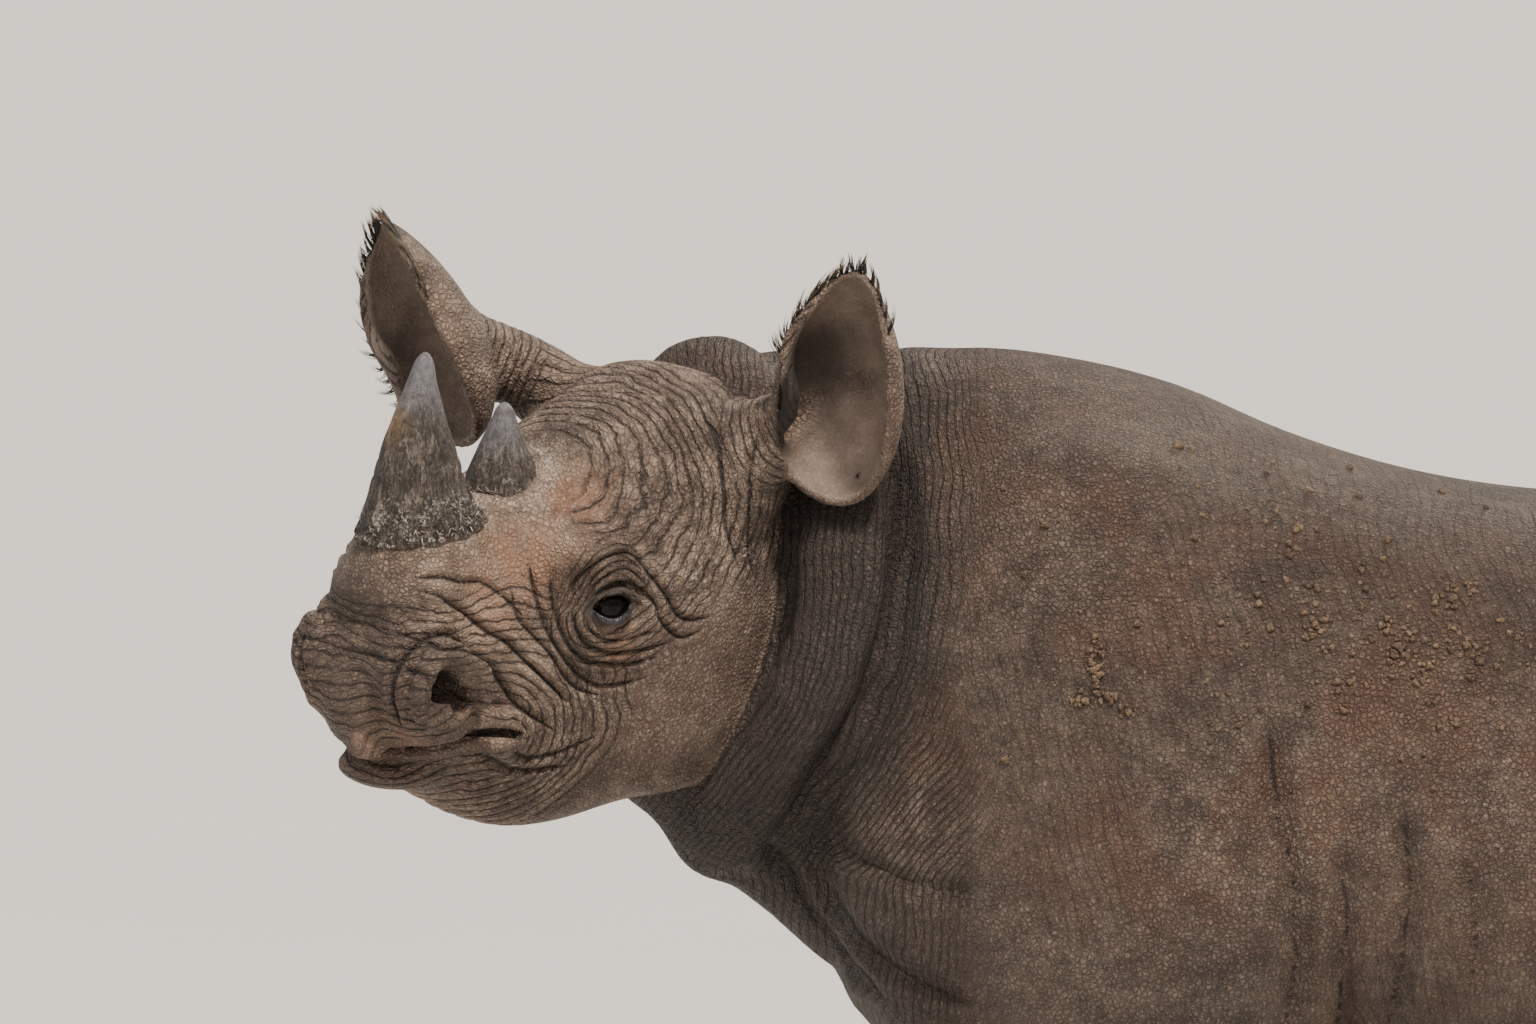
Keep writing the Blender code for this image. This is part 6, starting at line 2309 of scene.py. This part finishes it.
@dataclass(frozen=True)
class Bristles:
    """A crowd of tapered three-sided strands, joined in one mesh."""

    name: str
    width: float = 0.00055
    pieces: int = 5
    flat: float = 1.0           # thickness over width
    dress: Callable[[], bpy.types.Material] = lambda: BristleFinish().material()

    def build(self, roots: Array, runs: Array, bows: Array, tints: Array) -> bpy.types.Object:
        """Grow one strand from each root.

        Each strand goes by root + run t + bow t^2, and its width falls as 1 - t^1.6.

        Args:
            roots: where each strand starts, in the body's frame.
            runs: its first direction times its length.
            bows: how far its tip is carried off that line.
            tints: from 0 to 1, how pale its tip is.
        Returns:
            The piece.
        """
        count, rows = len(roots), self.pieces + 1
        t = np.linspace(0, 1, rows)
        line = (roots[:, None] + runs[:, None] * t[None, :, None]
                + bows[:, None] * (t ** 2)[None, :, None])
        along = runs / np.maximum(np.linalg.norm(runs, axis=1), 1e-6)[:, None]
        other = np.where(np.abs(along[:, 2:3]) < 0.9, [[0.0, 0.0, 1.0]], [[1.0, 0.0, 0.0]])
        u = unit(np.cross(along, other))
        v = np.cross(along, u)
        turn = np.arange(3) * 2 * np.pi / 3
        ring = (u[:, None] * np.cos(turn)[None, :, None]
                + self.flat * v[:, None] * np.sin(turn)[None, :, None])
        size = self.width * np.maximum(1 - t ** 1.6, 0.06)
        points = line[:, :, None] + ring[:, None] * size[None, :, None, None]
        start = (np.arange(count) * rows * 3)[:, None, None]
        quads = (grid_faces(rows, 3)[None] + start).reshape(-1, 4)
        caps = np.array([[2, 1, 0], [3 * rows - 3, 3 * rows - 2, 3 * rows - 1]])
        caps = (caps[None] + start).reshape(-1, 3)
        spot = np.repeat(unwrap(roots), rows * 3, axis=0)
        local = np.stack([np.tile(np.repeat(t, 3), count), np.tile(np.arange(3) / 2, rows * count)], 1)
        strand = np.stack([local[:, 0], np.repeat(tints, rows * 3), 0 * local[:, 0]], axis=1)
        thing = put_mesh(self.name, points.reshape(-1, 3), [quads, caps],
                         self.dress(), vectors={"strand": strand},
                         uv=spot + 0.003 * (local - 0.5))
        return thing


@dataclass(frozen=True)
class Frays:
    """Split ends and flakes of keratin round the foot of each horn."""

    flesh: Flesh
    count: int = 300
    tries: int = 9000               # places drawn, of which those at the skin are used

    def build(self) -> list[bpy.types.Object]:
        """Flat flakes rooted where the horn leaves the skin, some up it and some on the skin.

        Returns:
            A piece for each horn.
        """
        clay, made = self.flesh.skull(), []
        for number, horn in enumerate(HORNS):
            draw = np.random.default_rng(40 + number)
            rise, way = draw.uniform(0.02, 0.34, self.tries), draw.uniform(0, 2 * np.pi, self.tries)
            place, out, up = horn.plain(rise, way)
            off = clay.distance(place)
            most = 0.0015 + 0.009 * draw.random(self.tries) ** 2
            near = np.flatnonzero((off > -0.001) & (off < most))[:self.count]
            place, out, up = place[near], out[near], up[near]
            rising = draw.random(len(near)) < 0.6
            side = np.cross(out, up)
            run = np.where(rising[:, None], 0.30 * out + 0.80 * up, 0.90 * out - 0.05 * up)
            run = run + side * draw.normal(0, 1.0, (len(near), 1))
            run = unit(run)
            length = 0.0025 + 0.0075 * draw.random(len(near)) ** 1.6
            bow = np.where(rising[:, None], 0.25 * out, -0.55 * up) * length[:, None]
            start = place - 0.0012 * out
            made.append(Bristles(f"{horn.name}_fray", 0.0015, 3, 0.30, FrayFinish().material).build(
                HEAD.outward(start), (run * length[:, None]) @ HEAD.axes(), bow @ HEAD.axes(),
                draw.random(len(near))))
        return made


@dataclass(frozen=True)
class Fringes:
    """The bristles of ears, tail and eyelids."""

    clump: int = 13                 # strands to a clump on an ear
    lash_count: int = 90
    tail_count: int = 900

    def ear(self, ear: Ear, seed: int) -> bpy.types.Object:
        """Bristles along an ear's rim in pointed clumps: combed on one side, hooked on the other.

        The strands of a clump start a little apart and meet at its tip.

        Args:
            ear: the ear.
            seed: for the random draws.
        Returns:
            The piece.
        """
        draw = np.random.default_rng(seed)
        # The clumps' angles round the rim, in degrees, with the tip at 90.
        if ear.side is Side.LEFT:
            spots = np.r_[np.arange(10, 78, 2.6), np.arange(80, 101, 4.2), np.arange(107, 146, 8.0)]
            combed = spots < 78
        else:
            spots = np.r_[np.arange(-24, 62, 5.6), np.arange(64, 96, 4.0), np.arange(98, 168, 3.6)]
            combed = spots > 96
        spots = spots + draw.normal(0, 0.8, len(spots))
        rows, middle = ear.rows(), np.array(ear.middle)
        angle = np.radians(spots)
        seat = ear.rim(angle)
        outward = seat - middle
        outward -= (outward @ rows[1])[:, None] * rows[1]
        outward = unit(outward)
        # The skin's thin edge is a little rounded off at the ear's tip.
        sink = (0.0035 if ear.side is Side.LEFT else 0.0090) * bell(spots - 80, 18)
        seat = seat - sink[:, None] * outward
        to_tip = rows[2] - (outward @ rows[2])[:, None] * outward
        to_tip /= np.maximum(np.linalg.norm(to_tip, axis=1), 0.3)[:, None]
        reach = np.where(combed, 0.027, 0.026) * (0.75 + 0.45 * draw.random(len(spots)))
        way = np.where(combed[:, None], 0.98 * outward + 0.20 * to_tip,
                       0.95 * outward - 0.10 * to_tip)
        way = way + 0.12 * draw.normal(0, 1, way.shape) + 0.10 * rows[1]
        hook = np.where(combed[:, None], -0.25 * outward + 0.62 * to_tip,
                        -0.20 * outward + 0.70 * to_tip)
        clump = np.repeat(np.arange(len(spots)), self.clump)
        fine = np.random.default_rng(seed + 1)
        roots = ear.rim(angle[clump] + np.radians(fine.normal(0, 1.5, len(clump))))
        roots += rows[1] * fine.normal(0, 0.0012, (len(clump), 1))
        roots -= (0.0030 + sink[clump])[:, None] * outward[clump]
        short = 0.55 + 0.45 * fine.random((len(clump), 1))
        tip = seat[clump] + way[clump] * reach[clump][:, None] * short
        tip += fine.normal(0, 0.0011, tip.shape)
        made = Bristles(f"ear_fringe_{ear.side.name.lower()}", 0.00055, 6)
        return made.build(HEAD.outward(roots), (tip - roots) @ HEAD.axes(),
                          (hook[clump] * reach[clump][:, None] * short) @ HEAD.axes(),
                          fine.random(len(clump)) ** 1.2)

    def lashes(self) -> list[bpy.types.Object]:
        """Short lashes on the upper lids and a few on the lower.

        Their roots lie on the ball a little over the lids, on the edges of the almond.

        Returns:
            A piece for each eye.
        """
        made = []
        for eye in EYES:
            draw = np.random.default_rng(80 + eye.side.value)
            count = self.lash_count
            share = draw.random(count)
            x = (share - 0.5) * 2 * 0.90 * eye.half_length
            bend = 1 - (x / eye.half_length) ** 2
            upper = draw.random(count) < 0.75
            z = np.where(upper, eye.above, -eye.below) * eye.half_height * bend
            y = np.sqrt(np.maximum((eye.radius + 0.0038) ** 2 - x ** 2 - z ** 2, 1e-6))
            rows = eye.rows()
            roots = np.stack([x, y, z], axis=1)
            runs = np.stack([0.15 * np.sign(x) + 0.3 * x / eye.half_length, 0.75 + 0 * x,
                             np.where(upper, -0.15, -0.35)], axis=1)
            runs *= (0.009 + 0.007 * draw.random(count))[:, None] * np.where(upper, 1, 0.6)[:, None]
            bows = np.stack([0 * x, -0.002 + 0 * x, np.where(upper, 0.004, -0.003)], axis=1)
            carry = rows @ HEAD.axes()
            places = HEAD.outward(roots @ rows + eye.centre())
            made.append(Bristles(f"lashes_{eye.side.name.lower()}", 0.00026).build(
                places, runs @ carry, bows @ carry, 0.3 * draw.random(count)))
        return made

    def tail(self) -> bpy.types.Object:
        """Two rows of stiff bristles at the end of the tail, longer towards its tip.

        Returns:
            The piece.
        """
        draw = np.random.default_rng(95)
        count = self.tail_count
        share = draw.random(count) ** 0.8
        low = np.array([0.962, -0.018, 0.575])
        high = np.array([0.966, -0.016, 0.70])
        side = np.where(draw.random(count) < 0.5, -1.0, 1.0)
        turn = draw.normal(0, 0.55, count)
        out = np.stack([side * np.cos(turn), np.sin(turn), 0 * turn], axis=1)
        roots = high + (low - high) * share[:, None] + out * 0.0115
        length = 0.035 + 0.060 * share + 0.02 * draw.random(count)
        runs = (out * 0.35 + (0, 0, -0.9)) * length[:, None]
        runs += draw.normal(0, 0.004, (count, 3))
        bows = np.stack([-out[:, 0] * 0.12, -out[:, 1] * 0.1, -0.25 + 0 * turn], 1) * length[:, None]
        return Bristles("tail_brush", 0.00065).build(roots, runs, bows, 0.5 * draw.random(count))

    def build(self) -> list[bpy.types.Object]:
        """All the bristles."""
        made = [self.ear(ear, 90 + k) for k, ear in enumerate(EARS)]
        return [*made, *self.lashes(), self.tail()]


@dataclass(frozen=True)
class MudPatch:
    """A cracked patch of mud: its middle seen from the side, half sizes, tilt and how full it is."""

    at: Pair
    size: Pair
    tilt: float
    full: float = 1.0


@dataclass(frozen=True)
class Mud:
    """Dried mud on the flanks: cracked patches and a scatter of small crumbs."""

    flesh: Flesh
    spacing: float = 0.0070
    around: int = 12
    patches: tuple[MudPatch, ...] = (
        MudPatch((-0.239, 0.914), (0.024, 0.008), 86), MudPatch((-0.221, 0.878), (0.026, 0.009), -48),
        MudPatch((-0.253, 0.880), (0.013, 0.007), 60),
        MudPatch((0.060, 0.924), (0.034, 0.020), -52, 0.75),
        MudPatch((0.106, 0.972), (0.026, 0.012), 18, 0.7),
        MudPatch((0.114, 0.930), (0.024, 0.012), -35, 0.7),
        MudPatch((-0.049, 1.018), (0.034, 0.007), 80, 0.6),
        MudPatch((-0.026, 0.947), (0.017, 0.010), 30, 0.6),
        MudPatch((0.335, 0.845), (0.040, 0.018), 60, 0.6),
        MudPatch((0.520, 0.880), (0.030, 0.014), -40, 0.6))
    scatters: tuple[tuple[float, float, float, int], ...] = (       # x, z, spread, count
        (-0.03, 0.98, 0.065, 130), (0.10, 0.93, 0.06, 110), (-0.15, 0.92, 0.11, 60),
        (0.42, 0.85, 0.15, 50), (-0.26, 1.02, 0.05, 14))
    sunk: float = 0.0026            # how far a crumb's underside lies inside the skin

    def places(self) -> tuple[Array, Array, Array]:
        """Places seen from the side, half sizes and tilts of all the crumbs.

        A patch is a slightly shuffled grid of triangles, kept inside an ellipse, and a
        scatter is a normal spread about its middle.

        Returns:
            Their places seen from the side, their half sizes and their tilts.
        """
        draw = np.random.default_rng(7)
        found, sizes = [], []
        for patch in self.patches:
            step_up = self.spacing * 0.87
            rows, columns = np.mgrid[-12:13, -12:13]
            u = (columns + 0.5 * (rows % 2)).ravel() * self.spacing
            v = rows.ravel() * step_up
            u, v = u + draw.normal(0, 0.2 * self.spacing, u.size), v + draw.normal(
                0, 0.2 * self.spacing, v.size)
            edge = (u / patch.size[0]) ** 2 + (v / patch.size[1]) ** 2
            kept = (edge < 0.7 + 0.6 * draw.random(u.size)) & (draw.random(u.size) < patch.full)
            c, s = math.cos(math.radians(patch.tilt)), math.sin(math.radians(patch.tilt))
            found.append(np.stack([patch.at[0] + u * c - v * s, patch.at[1] + u * s + v * c], 1)[kept])
            sizes.append(self.spacing * draw.uniform(0.34, 0.62, kept.sum()))
        for x, z, spread, count in self.scatters:
            found.append(np.stack([draw.normal(x, spread, count),
                                   draw.normal(z, 0.8 * spread, count)], axis=1))
            sizes.append(0.0013 + 0.0030 * draw.random(count) ** 2)
        at, size = np.concatenate(found), np.concatenate(sizes)
        both = np.stack([size * draw.uniform(0.95, 1.35, len(at)),
                         size * draw.uniform(0.7, 1.0, len(at))], axis=1)
        tilt = draw.uniform(-90, 90, len(at))
        own = np.array([[0.071, 1.062], [-0.157, 1.112]])          # a twig end and a pebble
        return (np.r_[at, own], np.r_[both, [[0.018, 0.0042], [0.0065, 0.0048]]], np.r_[tilt, -14, 20])

    def build(self) -> bpy.types.Object:
        """All the crumbs in one piece: low lumps with closed undersides inside the skin.

        Each has three rings, its outline 1 + 0.16 sin 3a + 0.10 sin 5a, and a middle point
        above and below. Newton steps across the body bring them onto the skin.

        Returns:
            The piece.
        """
        at, size, tilt = self.places()
        count = len(at)
        side = np.where(np.arange(count) % 7 == 3, 1.0, -1.0)
        p = np.stack([at[:, 0], 0.34 * side, at[:, 1]], axis=1)
        clay = self.flesh.whole()
        for _ in range(18):
            value, slope = slope_of(clay.distance, p)
            p[:, 1] -= side * np.clip(value, -0.06, 0.06) * np.where(np.abs(slope[:, 1]) > 0.15, 1, 0.6)
        _, slope = slope_of(clay.distance, p)
        normal = unit(slope)
        u = unit(np.array([1.0, 0, 0]) - normal[:, :1] * normal)
        v = np.cross(normal, u)
        turn = np.radians(tilt)[:, None]
        u, v = np.cos(turn) * u + np.sin(turn) * v, np.cos(turn) * v - np.sin(turn) * u
        draw = np.random.default_rng(8)
        way = np.linspace(0, 2 * np.pi, self.around, endpoint=False)
        first, second = draw.uniform(0, 2 * np.pi, (2, count, 1))
        edge = 1 + 0.16 * np.sin(3 * way + first) + 0.10 * np.sin(5 * way + second)
        tall = np.minimum(size.min(axis=1) * draw.uniform(0.8, 1.2, count), 0.0052)
        rings = []
        for share, rise in ((1.0, None), (0.88, 0.62), (0.52, 1.0)):
            height = np.full(count, -self.sunk) if rise is None else rise * tall
            ring = (p + height[:, None] * normal)[:, None] + share * edge[..., None] * (
                size[:, :1, None] * np.cos(way)[None, :, None] * u[:, None]
                + size[:, 1:, None] * np.sin(way)[None, :, None] * v[:, None])
            rings.append(ring + draw.normal(0, 0.05, ring.shape) * size.min(axis=1)[:, None, None])
        ends = np.stack([p + 1.05 * tall[:, None] * normal, p - self.sunk * normal], axis=1)
        points = np.concatenate([*rings, ends], axis=1)
        j, n = np.arange(self.around), self.around
        k = np.roll(j, -1)
        fans = np.concatenate([np.stack([2 * n + j, 2 * n + k, np.full(n, 3 * n)], 1),
                               np.stack([k, j, np.full(n, 3 * n + 1)], 1)])
        start = (np.arange(count) * (3 * n + 2))[:, None, None]
        thing = put_mesh("mud_crumbs", points.reshape(-1, 3),
                         [(grid_faces(3, n)[None] + start).reshape(-1, 4),
                          (fans[None] + start).reshape(-1, 3)], MudFinish().material())
        return thing


# ------------------------------------------------------------------ studio
@dataclass(frozen=True)
class Studio:
    """A pale floor that runs far back, a long lens and large soft lights."""

    camera_place: Triple = (-0.54815, -14.15484, 2.15432)
    camera_pitch: float = 85.5
    lens: float = 345.4
    sun_power: float = 4.3
    sun_way: Triple = (-0.30, 0.56, -0.92)
    sky: str = "#e4e6e8"
    sky_power: float = 0.62
    floor_half: float = 120.0

    def floor(self) -> None:
        """A large flat floor, matt and pale."""
        h = self.floor_half
        mesh = bpy.data.meshes.new("floor")
        mesh.from_pydata([(-h, -h, 0), (h, -h, 0), (h, h, 0), (-h, h, 0)], [], [(0, 1, 2, 3)])
        thing = bpy.data.objects.new("floor", mesh)
        bpy.context.scene.collection.objects.link(thing)
        # Matt studio paint: no pattern, so that nothing draws the eye from the animal.
        d = Dress("Studio_paint_pale", Roughness=0.9, Specular_IOR_Level=0.1)
        mesh.materials.append(d.finish(d.add(Node.MIX, d.add(Node.NOISE, d.place, 1000 / 900.0, 2),
                                             "#e6e3de", "#eae7e2")))

    def light(self, name: str, place: Triple, target: Triple, size: float, watts: float,
              colour: str = "#ffffff") -> None:
        """A square soft light aimed at a target.

        Args:
            name: its name.
            place: where it stands.
            target: what it is aimed at.
            size: its side.
            watts: its power.
            colour: its colour.
        """
        lamp = bpy.data.lights.new(name, "AREA")
        lamp.shape, lamp.size, lamp.energy = "SQUARE", size, watts
        lamp.color = linear(colour)[:3]
        thing = bpy.data.objects.new(name, lamp)
        thing.location = place
        thing.rotation_euler = (Vector(target) - Vector(place)).to_track_quat("-Z", "Y").to_euler()
        bpy.context.scene.collection.objects.link(thing)

    def build(self) -> None:
        """Floor, lights, world and camera."""
        self.floor()
        sun = bpy.data.lights.new("sun", "SUN")
        sun.energy, sun.angle, sun.color = self.sun_power, math.radians(8), linear("#fff4e8")[:3]
        thing = bpy.data.objects.new("sun", sun)
        thing.rotation_euler = Vector(self.sun_way).to_track_quat("-Z", "Y").to_euler()
        bpy.context.scene.collection.objects.link(thing)
        head = (-0.70, -0.15, 0.95)
        self.light("rim", (1.2, 2.6, 3.0), head, 1.6, 70, "#fff0dc")
        self.light("front", (-3.4, -2.4, 1.5), head, 1.4, 6, "#ffffff")
        self.light("crown", (-0.55, -1.55, 3.0), head, 0.8, 22, "#ffffff")
        world = bpy.data.worlds.new("studio")
        world.use_nodes = True
        sky = world.node_tree.nodes["Background"].inputs
        sky["Color"].default_value, sky["Strength"].default_value = linear(self.sky), self.sky_power
        bpy.context.scene.world = world
        lens = bpy.data.cameras.new("camera")
        lens.lens, lens.sensor_width = self.lens, 36.0
        lens.clip_end = 500.0
        camera = bpy.data.objects.new("camera", lens)
        camera.location = self.camera_place
        camera.rotation_euler = (math.radians(self.camera_pitch), 0.0, 0.0)
        bpy.context.scene.collection.objects.link(camera)
        bpy.context.scene.camera = camera


def main() -> None:
    """Build the animal piece by piece, then the studio."""
    logging.basicConfig(level=logging.INFO, format="%(name)s: %(message)s")
    flesh = Flesh()
    Skin(flesh).build()
    for horn in HORNS:
        horn.build()
    Eyeballs().build()
    Toenails().build(flesh)
    Frays(flesh).build()
    Fringes().build()
    Mud(flesh).build()
    Studio().build()
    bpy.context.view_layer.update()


if __name__ == "__main__":
    main()
